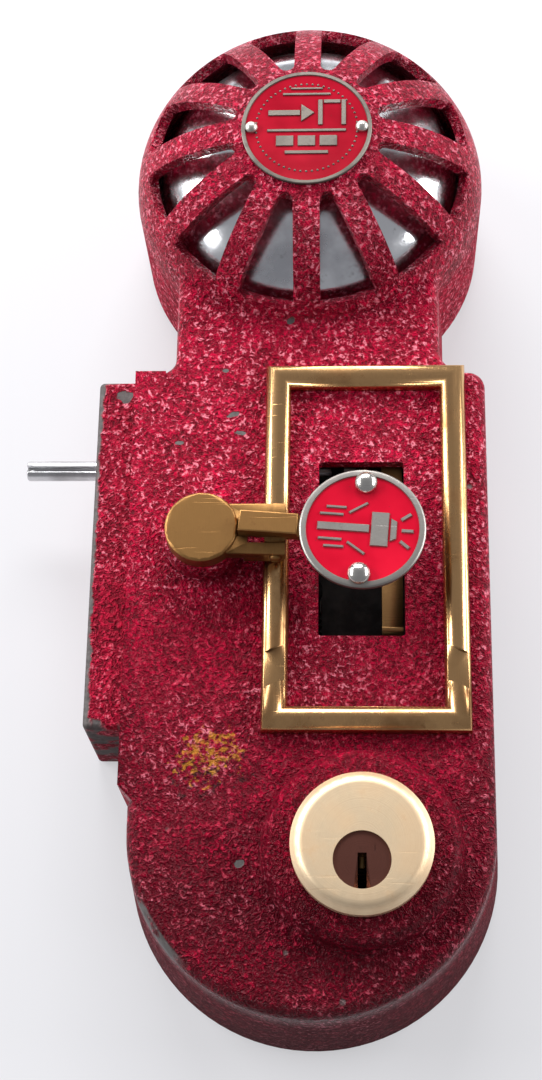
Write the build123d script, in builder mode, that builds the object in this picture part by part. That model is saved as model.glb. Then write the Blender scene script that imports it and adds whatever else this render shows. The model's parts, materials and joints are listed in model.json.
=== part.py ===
from build123d import *
import os
from math import asin, cos, degrees, radians, sin, tan

# A surface exit lock with an alarm bell. All sizes are in millimetres.
# +X is to the right as seen from the room, +Y goes into the door, +Z is up.
# A "height" is a distance out of the door, which is -Y.
# The origin is on the door's face, in the middle of the four fixing holes.

# Cover casting
FACE = 38.0
WALL = 3.0
DRAFT = 4.0
EDGE_ROUND = 3.2
FOOT_X, FOOT_Z, FOOT_R = 1.8, -68.0, 44.5
LEFT_EDGE = -40.5
PAD_X = -42.5
JOG_TOP, JOG_BOTTOM = -58.0, -62.5
SHOULDER_Z, SHOULDER_ROUND = 49.7, 6.6
NECK_HALF, NECK_ROUND, NECK_TOP = 35.2, 4.2, 90.0

# Bell dome and its twelve slots
BELL_Z, BELL_R = 103.5, 44.8
DOME_BASE, DOME_RISE, DOME_WALL = 30.0, 30.5, 2.8
HUB_HEIGHT, HUB_UNDERSIDE = 58.4, 54.6
SPOKES, SPOKE_WIDTH = 12, 6.6
SLOT_INNER, SLOT_OUTER, SLOT_OUTER_HEIGHT = 18.3, 41.0, 42.5

# Window, glass frame and trip lever
WINDOW_X, WINDOW_WIDTH, WINDOW_TALL = 13.4, 20.5, 44.3
FRAME_X, FRAME_Z, FRAME_WIDTH, FRAME_TALL = 14.4, 0.8, 48.7, 93.3
RAIL, RAIL_HEIGHT = 6.2, 3.8
NOTCH_Z, NOTCH_LENGTH, NOTCH_ANGLE, NOTCH_DEPTH = -30.5, 8.0, 23.0, 1.1
FRAME_STUDS = [(x, z) for x in (-6.8, 35.6) for z in (28.0, -14.0)]
TRIP_X, TRIP_WIDTH, TRIP_PIVOT_Z, TRIP_PIVOT = 20.8, 5.0, 31.0, 25.0
TRIP_END_Z, TRIP_PIN_R = -20.0, 2.0
TRIP_EARS = [(13.0, 15.2), (23.7, 25.7)]

# Striker
POST_X, POST_Z, POST_HEAD_R, POST_HEAD_TOP = -24.1, 1.2, 8.6, 49.0
STRIKER_BOSS_R, BOSS_TOP = 9.3, 44.5
HINGE_X, HINGE_HEIGHT, HINGE_PIN_R = -6.8, 44.7, 1.5
FORK_HALF, FORK_GAP_HALF, EAR_ROUND, EAR_TOP = 6.3, 3.5, 2.4, 47.3
ARM_SLACK = 4.4
ARM_LEFT, ARM_RIGHT, ARM_WIDTH, ARM_LOW, ARM_TOP = -8.4, 5.4, 5.2, 47.6, 51.4
DISC_REACH, DISC_R, DISC_BACK, DISC_TOP = 20.5, 14.7, 49.9, 51.6
DISC_SCREW_OFFSET = 11.3

# Lock cylinder
CYLINDER_X, CYLINDER_Z, CYLINDER_HEAD_R = 13.4, -73.0, 16.0
BARREL_R, BARREL_END, HEAD_LOW, HEAD_TOP = 14.3, 14.0, 44.2, 48.8
KEY_BOSS_R, KEY_BOSS_TOP_R, KEY_BOSS_TOP = 23.3, 20.5, 43.5
PLUG_Z, PLUG_R, PLUG_TOP = -77.2, 6.4, 48.3
PIN_HEIGHTS = [42.0, 38.0, 34.0, 30.0, 26.0]
CAM_PIN_REACH, CAM_START = 10.0, -35.0

# Bolt and what draws it
BOLT_Z, BOLT_HEIGHT, BOLT_R, BOLT_TIP_R = 30.0, 15.0, 2.6, 2.55
BOLT_TIP_X, BOLT_STEP_X, BOLT_END_X = -72.0, -53.2, 12.0
BLOCK_OUTER, BLOCK_LOW_Z, BLOCK_HIGH_Z, BLOCK_HEIGHT = -52.5, -42.5, 48.0, 30.0
BLOCK_SCREW_ZS = (4.0, -20.0)
CRANK_X, CRANK_Z, CRANK_ARM, CRANK_SIDE_ARM, CRANK_SWING = -13.0, -6.0, 24.0, 14.0, 20.7

# Base plate and fixings
PLATE = 2.8
PLATE_INSET = 3.6
DOOR_HOLES = [(x, z) for x in (-30.0, 30.0) for z in (-42.0, 42.0)]
DOOR_HOLE_R = 2.6
SCREW_POST_R = 5.2
SCREW_POSTS = [(-28.9, 127.4, 20.0), (28.9, 127.4, 20.0), (-33.0, -30.0, 35.0), (38.0, -30.0, 35.0)]

# Gong and clockwork
GONG_R, GONG_BASE, GONG_RISE, GONG_SKIRT, GONG_WALL = 38.0, 34.0, 17.0, 28.0, 1.4
REAR_PLATE, FRONT_PLATE, MOVEMENT_PLATE = 7.0, 19.0, 1.2
MODULE, WHEEL_TEETH, PINION_TEETH = 0.7, 40, 14
BARREL_X, BARREL_Z = -15.5, 92.0
TRAIN_DISTANCE = MODULE * (WHEEL_TEETH + PINION_TEETH) / 2 + 0.1
ESCAPE_X = BARREL_X + TRAIN_DISTANCE * cos(radians(-25))
ESCAPE_Z = BARREL_Z + TRAIN_DISTANCE * sin(radians(-25))
HAMMER_X, HAMMER_Z = 14.5, 82.0
HAMMER_HEAD_X, HAMMER_HEAD_Z = 26.5, 86.5
PILLARS = [(-27.0, 78.5), (22.0, 77.5), (-26.5, 106.5), (17.0, 104.0)]


def front(height):
    """A drawing plane parallel to the door: its x is X and its y is Z."""
    return Plane.XZ.offset(height)


def radius_plane(x, z):
    """A plane through an axis square to the door: its x is a radius and its y is a height."""
    return Plane(origin=(x, 0, z), x_dir=(1, 0, 0), z_dir=(0, 0, -1))


def door_axis(x, z):
    """The axis square to the door through a point."""
    return Axis((x, 0, z), (0, -1, 0))


def bar(x, z, radius, low, high, mode=Mode.ADD):
    """A round bar or hole square to the door, between two heights."""
    with BuildSketch(front(low)) as section:
        with Locations((x, z)):
            Circle(radius)
    extrude(section.sketch, amount=high - low, mode=mode)


def slab(x0, x1, z0, z1, low, high, mode=Mode.ADD):
    """A rectangular block between two heights."""
    with BuildSketch(front(low)) as section:
        with Locations(((x0 + x1) / 2, (z0 + z1) / 2)):
            Rectangle(abs(x1 - x0), abs(z1 - z0))
    extrude(section.sketch, amount=high - low, mode=mode)


def hexagon(x, z, across_flats, low, high):
    """A hexagonal nut blank between two heights."""
    with BuildSketch(front(low)) as section:
        with Locations((x, z)):
            RegularPolygon(across_flats / 2, 6, major_radius=False)
    extrude(section.sketch, amount=high - low)


def turned(x, z, profile, mode=Mode.ADD):
    """A turned shape about an axis square to the door, from its (radius, height) corners."""
    with BuildSketch(radius_plane(x, z)) as section:
        with BuildLine():
            Polyline(*profile, close=True)
        make_face()
    revolve(section.sketch, axis=door_axis(x, z), mode=mode)


def rod_along_x(x0, x1, z, height, radius, mode=Mode.ADD):
    """A round rod or hole along X."""
    with BuildSketch(Plane.YZ.offset(x0)) as section:
        with Locations((-height, z)):
            Circle(radius)
    extrude(section.sketch, amount=x1 - x0, mode=mode)


def rod_along_z(x, height, z0, z1, radius, mode=Mode.ADD):
    """A round rod or hole along Z."""
    with BuildSketch(Plane.XY.offset(z0)) as section:
        with Locations((x, -height)):
            Circle(radius)
    extrude(section.sketch, amount=z1 - z0, mode=mode)


def link(ends, radii, low, high):
    """A flat link with round ends, between two heights."""
    with BuildSketch(front(low)) as section:
        for end, radius in zip(ends, radii):
            with Locations(end):
                Circle(radius)
        make_hull()
    extrude(section.sketch, amount=high - low)


def coil(start, direction, length, radius, wire, pitch):
    """A helical spring's coil along an axis."""
    with BuildLine() as turns:
        Helix(pitch=pitch, height=length, radius=radius, center=start, direction=direction)
    path = turns.line
    with BuildSketch(Plane(origin=path @ 0, z_dir=path % 0)) as section:
        Circle(wire)
    sweep(section.sketch, path=path)


def body_outline(inset):
    """The lower body's outline at the door, drawn this far inside the casting's edge."""
    right = FOOT_X + FOOT_R - inset
    left_foot = FOOT_X - FOOT_R + inset
    left = LEFT_EDGE + inset
    top = SHOULDER_Z - inset
    neck = NECK_HALF - inset
    with BuildLine() as edge:
        shoulder = FilletPolyline(
            (right, FOOT_Z), (right, top), (neck, top), (neck, NECK_TOP),
            radius=(SHOULDER_ROUND - inset, NECK_ROUND + inset),
        )
        Line(shoulder @ 1, (-neck, NECK_TOP))
        FilletPolyline((-neck, NECK_TOP), (-neck, top), (left, top), radius=NECK_ROUND)
        Polyline((left, top), (left, JOG_TOP), (left_foot, JOG_BOTTOM), (left_foot, FOOT_Z))
        ThreePointArc((left_foot, FOOT_Z), (FOOT_X, FOOT_Z - FOOT_R + inset), (right, FOOT_Z))
    make_face(edge.edges())


def gear_outline(teeth, phase):
    """A spur gear's outline with straight-sided teeth; the phase is the first tooth's angle."""
    root, tip = MODULE * (teeth / 2 - 1.2), MODULE * (teeth / 2 + 0.85)
    step = 360 / teeth
    corners = []
    for tooth in range(teeth):
        middle = phase + tooth * step
        for radius, share in ((root, -0.33), (tip, -0.12), (tip, 0.12), (root, 0.33)):
            angle = radians(middle + share * step)
            corners.append((radius * cos(angle), radius * sin(angle)))
    Polygon(*corners, align=None)


def finish(part, name):
    """Labels a piece and writes its file."""
    part.label = name
    export_step(part, f"parts/{name}.step")


os.makedirs("parts", exist_ok=True)

# ---------------------------------------------------------------- cover casting

# The flat pad on the left wall, where the guide block is screwed on; its top slopes with the shoulder.
with BuildPart() as wall_pad:
    with BuildSketch(Plane.YZ.offset(PAD_X)):
        with BuildLine():
            shoulder_drop = FACE * tan(radians(DRAFT))
            Polyline(
                (0, JOG_BOTTOM), (0, SHOULDER_Z), (-FACE, SHOULDER_Z - shoulder_drop),
                (-FACE, JOG_BOTTOM), close=True,
            )
        make_face()
    extrude(amount=LEFT_EDGE - PAD_X + 5.5)
    with BuildSketch(front(0)):
        with BuildLine():
            Polyline(
                (PAD_X - 1, JOG_TOP), (PAD_X, JOG_TOP), (PAD_X + 4.4, JOG_BOTTOM - 0.1),
                (PAD_X - 1, JOG_BOTTOM - 0.1), close=True,
            )
        make_face()
    extrude(amount=FACE, mode=Mode.SUBTRACT)

# Twelve wedge-shaped cutters; a cone ends them, so that each slot's outer end is square to the dome.
with BuildPart() as slot_cutter:
    half_step = radians(180 / SPOKES)
    apex = SPOKE_WIDTH / 2 / sin(half_step)
    end_centre = (SLOT_INNER - apex * sin(half_step)) / (1 - sin(half_step))
    end_radius = end_centre - SLOT_INNER
    side_reach = BELL_R + 10 - apex
    with BuildSketch(front(0)):
        with Locations((0, BELL_Z)):
            with PolarLocations(0, SPOKES, start_angle=degrees(half_step)):
                Polygon(
                    (end_centre, 0),
                    (end_centre - end_radius * sin(half_step), -end_radius * cos(half_step)),
                    (apex + side_reach, -side_reach * tan(half_step)),
                    (apex + side_reach, side_reach * tan(half_step)),
                    (end_centre - end_radius * sin(half_step), end_radius * cos(half_step)),
                    align=None,
                )
            with PolarLocations(end_centre, SPOKES, start_angle=degrees(half_step)):
                Circle(end_radius)
    extrude(amount=FACE + 40)
    slope = (SLOT_OUTER_HEIGHT - DOME_BASE) / DOME_RISE ** 2 / (SLOT_OUTER / BELL_R ** 2)
    cone_foot = SLOT_OUTER_HEIGHT - SLOT_OUTER * slope
    cone_top = cone_foot + 60 * slope
    turned(0, BELL_Z, [(0, cone_foot), (60, cone_top), (60, 90), (0, 90)], mode=Mode.INTERSECT)

with BuildPart() as main_cover:
    with BuildSketch(front(0)):
        body_outline(0)
    with BuildSketch(front(FACE)):
        body_outline(FACE * tan(radians(DRAFT)))
    loft(ruled=True)
    fillet(main_cover.faces().sort_by(Axis.Y)[0].edges(), EDGE_ROUND)
    add(wall_pad.part)
    # Bell bowl: a straight wall, then a part of an ellipsoid up to the flat hub
    hub_angle = degrees(asin((HUB_HEIGHT - DOME_BASE) / DOME_RISE))
    with BuildSketch(radius_plane(0, BELL_Z)):
        with BuildLine():
            outer = EllipticalCenterArc((0, DOME_BASE), BELL_R, DOME_RISE, arc_size=hub_angle)
            Polyline(outer @ 1, (0, HUB_HEIGHT), (0, 0), (BELL_R, 0), outer @ 0)
        make_face()
    revolve(axis=door_axis(0, BELL_Z))
    inner_rise = DOME_RISE - DOME_WALL
    underside_angle = degrees(asin((HUB_UNDERSIDE - DOME_BASE) / inner_rise))
    with BuildSketch(radius_plane(0, BELL_Z)):
        with BuildLine():
            inner = EllipticalCenterArc(
                (0, DOME_BASE), BELL_R - DOME_WALL, inner_rise, arc_size=underside_angle
            )
            Polyline(inner @ 1, (0, HUB_UNDERSIDE), (0, 0), (BELL_R - DOME_WALL, 0), inner @ 0)
        make_face()
    revolve(axis=door_axis(0, BELL_Z), mode=Mode.SUBTRACT)
    with BuildSketch(front(0)):
        body_outline(WALL)
    with BuildSketch(front(FACE - WALL)):
        body_outline(WALL + (FACE - WALL) * tan(radians(DRAFT)))
    loft(ruled=True, mode=Mode.SUBTRACT)
    add(slot_cutter.part, mode=Mode.SUBTRACT)
    # Bosses on the face
    turned(CYLINDER_X, CYLINDER_Z, [
        (0, FACE - 1), (KEY_BOSS_R, FACE - 1), (KEY_BOSS_R, FACE), (KEY_BOSS_TOP_R + 1.4, KEY_BOSS_TOP - 1.2),
        (KEY_BOSS_TOP_R, KEY_BOSS_TOP), (0, KEY_BOSS_TOP),
    ])
    turned(POST_X, POST_Z, [
        (0, FACE - 1), (STRIKER_BOSS_R + 0.4, FACE - 1), (STRIKER_BOSS_R, BOSS_TOP - 0.8),
        (STRIKER_BOSS_R - 0.8, BOSS_TOP), (0, BOSS_TOP),
    ])
    # Inner lugs for the trip lever, and the posts that take the cover screws
    for x0, x1 in TRIP_EARS:
        slab(x0, x1, TRIP_PIVOT_Z - 5, TRIP_PIVOT_Z + 5, TRIP_PIVOT - 4.5, FACE - WALL)
    for x, z, top in SCREW_POSTS:
        bar(x, z, SCREW_POST_R, PLATE + 0.2, top)
    # Openings
    with BuildSketch(front(FACE - 8)):
        with Locations((WINDOW_X, 0)):
            RectangleRounded(WINDOW_WIDTH, WINDOW_TALL, 0.8)
    extrude(amount=12, mode=Mode.SUBTRACT)
    bar(CYLINDER_X, CYLINDER_Z, BARREL_R + 0.1, FACE - 8, KEY_BOSS_TOP + 1, mode=Mode.SUBTRACT)
    bar(POST_X, POST_Z, 4.05, FACE - 8, BOSS_TOP + 1, mode=Mode.SUBTRACT)
    for x, z in FRAME_STUDS:
        bar(x, z, 1.5, FACE - 8, FACE + 1, mode=Mode.SUBTRACT)
    for x, z, top in SCREW_POSTS:
        bar(x, z, 2.0, PLATE, PLATE + 10, mode=Mode.SUBTRACT)
    for x in (-13.7, 13.7):
        bar(x, BELL_Z, 1.0, HUB_UNDERSIDE - 1, HUB_HEIGHT + 1, mode=Mode.SUBTRACT)
    rod_along_x(
        TRIP_EARS[0][0] - 1, TRIP_EARS[1][1] + 1, TRIP_PIVOT_Z, TRIP_PIVOT, TRIP_PIN_R, mode=Mode.SUBTRACT
    )
    rod_along_x(PAD_X - 1, -30.0, BOLT_Z, BOLT_HEIGHT, 3.3, mode=Mode.SUBTRACT)
    for z in BLOCK_SCREW_ZS:
        rod_along_x(PAD_X - 1, -33.0, z, BOLT_HEIGHT, 2.05, mode=Mode.SUBTRACT)
finish(main_cover.part, "main_cover")

# ---------------------------------------------------------------- side block and bolt

with BuildPart() as bolt_guide_block:
    slab(BLOCK_OUTER, PAD_X, BLOCK_LOW_Z, BLOCK_HIGH_Z, 0, BLOCK_HEIGHT)
    outer_edges = bolt_guide_block.faces().sort_by(Axis.X)[0].edges()
    front_edges = bolt_guide_block.faces().sort_by(Axis.Y)[0].edges()
    wall_side = bolt_guide_block.faces().sort_by(Axis.X)[-1].edges()
    rounded = [edge for edge in front_edges if edge not in wall_side]
    rounded += [edge for edge in outer_edges.filter_by(Axis.Y)]
    fillet(rounded, 1.3)
    rod_along_x(BLOCK_OUTER - 1, PAD_X + 1, BOLT_Z, BOLT_HEIGHT, BOLT_R + 0.05, mode=Mode.SUBTRACT)
    for z in BLOCK_SCREW_ZS:
        rod_along_x(PAD_X - 7, PAD_X + 1, z, BOLT_HEIGHT, 2.0, mode=Mode.SUBTRACT)
finish(bolt_guide_block.part, "bolt_guide_block")

with BuildPart() as block_screws:
    for z in BLOCK_SCREW_ZS:
        rod_along_x(PAD_X - 6, -36.0, z, BOLT_HEIGHT, 1.95)
        rod_along_x(-36.2, -33.4, z, BOLT_HEIGHT, 3.4)
finish(block_screws.part, "block_screws")

with BuildPart() as bolt_rod:
    rod_along_x(BOLT_TIP_X, BOLT_STEP_X, BOLT_Z, BOLT_HEIGHT, BOLT_TIP_R)
    chamfer(bolt_rod.faces().sort_by(Axis.X)[0].edges(), 0.35)
    rod_along_x(BOLT_STEP_X, BOLT_END_X, BOLT_Z, BOLT_HEIGHT, BOLT_R)
    # A lengthwise groove on the room side, and a short slot across the tip
    groove = (BOLT_Z - 1.1, BOLT_Z - 0.1, BOLT_HEIGHT + 1.75, BOLT_HEIGHT + 4)
    slab(BOLT_TIP_X, -46.0, *groove, mode=Mode.SUBTRACT)
    tip_slot = (BOLT_Z - 0.5, BOLT_Z + 0.5, BOLT_HEIGHT + 0.6, BOLT_HEIGHT + 4)
    slab(BOLT_TIP_X, BOLT_TIP_X + 1.6, *tip_slot, mode=Mode.SUBTRACT)
    rod_along_z(-21.5, BOLT_HEIGHT, BOLT_Z - 4, BOLT_Z + 4, 1.0, mode=Mode.SUBTRACT)
finish(bolt_rod.part, "bolt_rod")

with BuildPart() as bolt_carriage:
    slab(-30, -12, 23, 37, 9.5, 20.5)
    chamfer(bolt_carriage.edges().filter_by(Axis.Y), 1.0)
    slab(-27, -16, 11.5, 23, 12.5, 15.5)
    with BuildSketch(front(12)):
        with Locations((-21.5, 17.2)):
            SlotOverall(10.6, 4.6, rotation=90)
    extrude(amount=4, mode=Mode.SUBTRACT)
    rod_along_x(-31, -11, BOLT_Z, BOLT_HEIGHT, BOLT_R + 0.03, mode=Mode.SUBTRACT)
    rod_along_z(-21.5, BOLT_HEIGHT, 23.5, 38, 1.0, mode=Mode.SUBTRACT)
finish(bolt_carriage.part, "bolt_carriage")

with BuildPart() as carriage_pin:
    rod_along_z(-21.5, BOLT_HEIGHT, 23.6, 36.8, 0.97)
finish(carriage_pin.part, "carriage_pin")

with BuildPart() as guide_bracket:
    slab(6, 9, 24, 36, PLATE, 20)
    slab(6, 17, 24, 36, PLATE, PLATE + 2)
    rod_along_x(5, 10, BOLT_Z, BOLT_HEIGHT, BOLT_R + 0.05, mode=Mode.SUBTRACT)
    for z in (27.0, 33.0):
        bar(13.0, z, 1.5, 0, 10, mode=Mode.SUBTRACT)
finish(guide_bracket.part, "guide_bracket")

with BuildPart() as bracket_rivets:
    for z in (27.0, 33.0):
        bar(13.0, z, 1.45, 0.4, PLATE + 2)
        turned(13.0, z, [(0, PLATE + 2), (2.5, PLATE + 2), (1.8, PLATE + 3), (0, PLATE + 3.4)])
finish(bracket_rivets.part, "bracket_rivets")

swing = radians(CRANK_SWING)
crank_pin = (CRANK_X - CRANK_ARM * sin(swing), CRANK_Z + CRANK_ARM * cos(swing))
spring_end = (CRANK_X + CRANK_SIDE_ARM * cos(swing), CRANK_Z + CRANK_SIDE_ARM * sin(swing))
SPRING_LAYER = 12.4
SPRING_STUD_Z = -47.2

with BuildPart() as bolt_crank:
    link([(CRANK_X, CRANK_Z), crank_pin], [5.5, 4.0], 9.0, 11.5)
    link([(CRANK_X, CRANK_Z), spring_end], [5.5, 3.5], 9.0, 11.5)
    bar(CRANK_X, CRANK_Z, 5.5, 5.0, 12.0)
    bar(*crank_pin, 2.0, 11.0, 16.5)
    bar(*spring_end, 1.2, 11.0, 14.0)
    bar(CRANK_X, CRANK_Z, 3.05, 4.0, 13.0, mode=Mode.SUBTRACT)
finish(bolt_crank.part, "bolt_crank")

with BuildPart() as crank_post:
    turned(CRANK_X, CRANK_Z, [
        (0, 0.4), (2.4, 0.4), (2.4, PLATE), (4.6, PLATE), (4.6, 4.9), (3.0, 4.9), (3.0, 12.3),
        (2.5, 12.3), (2.5, 13.3), (3.0, 13.3), (3.0, 14.2), (2.5, 14.6), (0, 14.6),
    ])
finish(crank_post.part, "crank_post")

with BuildPart() as crank_clip:
    with BuildSketch(front(12.35)):
        with Locations((CRANK_X, CRANK_Z)):
            Circle(5.0)
            Circle(2.55, mode=Mode.SUBTRACT)
            with Locations((0, -4.0)):
                Rectangle(3.6, 5.0, mode=Mode.SUBTRACT)
    extrude(amount=0.9)
finish(crank_clip.part, "crank_clip")

with BuildPart() as bolt_spring:
    coil((spring_end[0], -SPRING_LAYER, -42.0), (0, 0, 1), 34.0, 3.0, 0.45, 1.7)
    rod_along_z(spring_end[0] + 3.0, SPRING_LAYER, -45.4, -42.0, 0.45)
    rod_along_z(spring_end[0] + 3.0, SPRING_LAYER, -8.0, -4.9, 0.45)
finish(bolt_spring.part, "bolt_spring")

with BuildPart() as spring_post:
    turned(spring_end[0] + 1.6, SPRING_STUD_Z, [
        (0, 0.4), (1.2, 0.4), (1.2, PLATE), (1.6, PLATE), (1.6, 13.6), (2.6, 14.0), (2.6, 14.6), (0, 15.0),
    ])
finish(spring_post.part, "spring_post")

# ---------------------------------------------------------------- lock cylinder and reset slide

with BuildPart() as cylinder_body:
    turned(CYLINDER_X, CYLINDER_Z, [
        (0, BARREL_END), (BARREL_R - 0.8, BARREL_END), (BARREL_R, BARREL_END + 0.8), (BARREL_R, HEAD_LOW),
        (CYLINDER_HEAD_R, HEAD_LOW), (CYLINDER_HEAD_R, HEAD_TOP - 2.2),
        (CYLINDER_HEAD_R - 1.6, HEAD_TOP - 0.4), (CYLINDER_HEAD_R - 3.0, HEAD_TOP), (0, HEAD_TOP),
    ])
    bar(CYLINDER_X, PLUG_Z, PLUG_R + 0.05, 10, HEAD_TOP + 1, mode=Mode.SUBTRACT)
    for height in PIN_HEIGHTS:
        rod_along_z(CYLINDER_X, height, PLUG_Z, CYLINDER_Z + BARREL_R - 1.6, 1.5, mode=Mode.SUBTRACT)
finish(cylinder_body.part, "cylinder_body")

with BuildPart() as cylinder_ring_nut:
    turned(CYLINDER_X, CYLINDER_Z, [
        (BARREL_R + 0.05, FACE - WALL - 4), (18.3, FACE - WALL - 4), (18.3, FACE - WALL),
        (BARREL_R + 0.05, FACE - WALL),
    ])
    for x in (-18.3, 18.3):
        notch_x = CYLINDER_X + x
        slab(notch_x - 1.2, notch_x + 1.2, CYLINDER_Z - 1.5, CYLINDER_Z + 1.5, 25, 40, Mode.SUBTRACT)
finish(cylinder_ring_nut.part, "cylinder_ring_nut")

with BuildPart() as key_plug:
    bar(CYLINDER_X, PLUG_Z, PLUG_R, BARREL_END, PLUG_TOP)
    slab(CYLINDER_X - 1.0, CYLINDER_X + 1.0, PLUG_Z - 7, PLUG_Z + 1.6, 20, 50, mode=Mode.SUBTRACT)
    for height in PIN_HEIGHTS:
        rod_along_z(CYLINDER_X, height, PLUG_Z - 1, PLUG_Z + 8, 1.5, mode=Mode.SUBTRACT)
    for x in (-3.5, 3.5):
        bar(CYLINDER_X + x, PLUG_Z, 1.05, 10, 18, mode=Mode.SUBTRACT)
finish(key_plug.part, "key_plug")

with BuildPart() as key_pins:
    for height in PIN_HEIGHTS:
        rod_along_z(CYLINDER_X, height, PLUG_Z - 0.8, PLUG_Z + 6.1, 1.42)
finish(key_pins.part, "key_pins")

with BuildPart() as driver_pins:
    for height in PIN_HEIGHTS:
        rod_along_z(CYLINDER_X, height, PLUG_Z + 6.55, PLUG_Z + 10.2, 1.42)
finish(driver_pins.part, "driver_pins")

with BuildPart() as pin_springs:
    for height in PIN_HEIGHTS:
        coil((CYLINDER_X, -height, PLUG_Z + 10.4), (0, 0, 1), 4.9, 1.05, 0.18, 0.7)
finish(pin_springs.part, "pin_springs")

start = radians(CAM_START)
cam_pin = (CYLINDER_X + CAM_PIN_REACH * cos(start), PLUG_Z + CAM_PIN_REACH * sin(start))

with BuildPart() as cylinder_cam:
    link([(CYLINDER_X, PLUG_Z), cam_pin], [7.0, 3.6], 11.2, 13.9)
    bar(*cam_pin, 1.5, 4.9, 11.4)
    for x in (-3.5, 3.5):
        bar(CYLINDER_X + x, PLUG_Z, 1.05, 10, 15, mode=Mode.SUBTRACT)
finish(cylinder_cam.part, "cylinder_cam")

with BuildPart() as cam_screws:
    for x in (-3.5, 3.5):
        bar(CYLINDER_X + x, PLUG_Z, 1.0, 11.0, 17.5)
        bar(CYLINDER_X + x, PLUG_Z, 1.9, 9.9, 11.2)
finish(cam_screws.part, "cam_screws")

SLIDE_LOW, SLIDE_TOP = 5.5, 7.5
STUD_ZS = (-20.0, -46.0)
SLIDE_TRAVEL = 2 * CAM_PIN_REACH * sin(radians(-CAM_START))

with BuildPart() as reset_slide:
    slab(12, 20, -64, -14, SLIDE_LOW, SLIDE_TOP)
    slab(9, 29, -91, -62, SLIDE_LOW, SLIDE_TOP)
    slab(-8, 13, -31, -25, SLIDE_LOW, SLIDE_TOP)
    slab(-8, -4.6, -31, -25, SLIDE_LOW, 11.0)
    fillet(reset_slide.edges().filter_by(Axis.Y).group_by(Axis.Z)[0], 3.0)
    slab(19.3, 25.9, cam_pin[1] - 1.9, cam_pin[1] + 1.9, 5, 8, mode=Mode.SUBTRACT)
    for z in STUD_ZS:
        with BuildSketch(front(5)):
            with Locations((16.0, z - SLIDE_TRAVEL / 2)):
                SlotOverall(SLIDE_TRAVEL + 5.1, 4.1, rotation=90)
        extrude(amount=3, mode=Mode.SUBTRACT)
finish(reset_slide.part, "reset_slide")

with BuildPart() as slide_studs:
    for z in STUD_ZS:
        turned(16.0, z, [
            (0, 0.4), (1.6, 0.4), (1.6, PLATE), (3.2, PLATE), (3.2, 5.2), (2.0, 5.2), (2.0, 8.1),
            (3.4, 8.1), (3.4, 9.2), (0, 9.6),
        ])
finish(slide_studs.part, "slide_studs")

# ---------------------------------------------------------------- striker, frame and trip lever

with BuildPart() as striker_post:
    turned(POST_X, POST_Z, [
        (0, 28.6), (3.5, 28.6), (4.0, 29.1), (4.0, BOSS_TOP), (POST_HEAD_R, BOSS_TOP),
        (POST_HEAD_R, POST_HEAD_TOP - 0.5), (POST_HEAD_R - 0.5, POST_HEAD_TOP), (0, POST_HEAD_TOP),
    ])
    slab(POST_X + 5, HINGE_X, POST_Z - FORK_HALF, POST_Z + FORK_HALF, BOSS_TOP, EAR_TOP)
    slab(-14.3, HINGE_X, POST_Z - FORK_HALF, POST_Z + FORK_HALF, HINGE_HEIGHT - EAR_ROUND, EAR_TOP)
    with BuildSketch(Plane.XY.offset(POST_Z - FORK_HALF)):
        with Locations((HINGE_X, -HINGE_HEIGHT)):
            Circle(EAR_ROUND)
        with Locations((HINGE_X, -(HINGE_HEIGHT + EAR_TOP) / 2)):
            Rectangle(2 * EAR_ROUND, EAR_TOP - HINGE_HEIGHT)
    extrude(amount=2 * FORK_HALF)
    slab(-13.4, HINGE_X + 5, POST_Z - FORK_GAP_HALF, POST_Z + FORK_GAP_HALF, 40, 50, mode=Mode.SUBTRACT)
    rod_along_z(HINGE_X, HINGE_HEIGHT, POST_Z - 8, POST_Z + 8, HINGE_PIN_R + 0.05, mode=Mode.SUBTRACT)
finish(striker_post.part, "striker_post")

with BuildPart() as striker_nut:
    hexagon(POST_X, POST_Z, 13.0, FACE - WALL - 4.5, FACE - WALL)
    bar(POST_X, POST_Z, 4.05, 20, 40, mode=Mode.SUBTRACT)
finish(striker_nut.part, "striker_nut")

with BuildPart() as hinge_pin:
    rod_along_z(HINGE_X, HINGE_HEIGHT, POST_Z - 7.2, POST_Z + 7.2, HINGE_PIN_R)
    fillet(hinge_pin.edges().filter_by(GeomType.CIRCLE), 0.9)
finish(hinge_pin.part, "hinge_pin")

slack = radians(ARM_SLACK)


def arm_plane(height):
    """A plane like front(), set on the hinge and turned by the arm's slack in its fork."""
    return Plane(origin=(HINGE_X, -height, POST_Z), x_dir=(cos(slack), 0, -sin(slack)), z_dir=(0, -1, 0))


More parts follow.
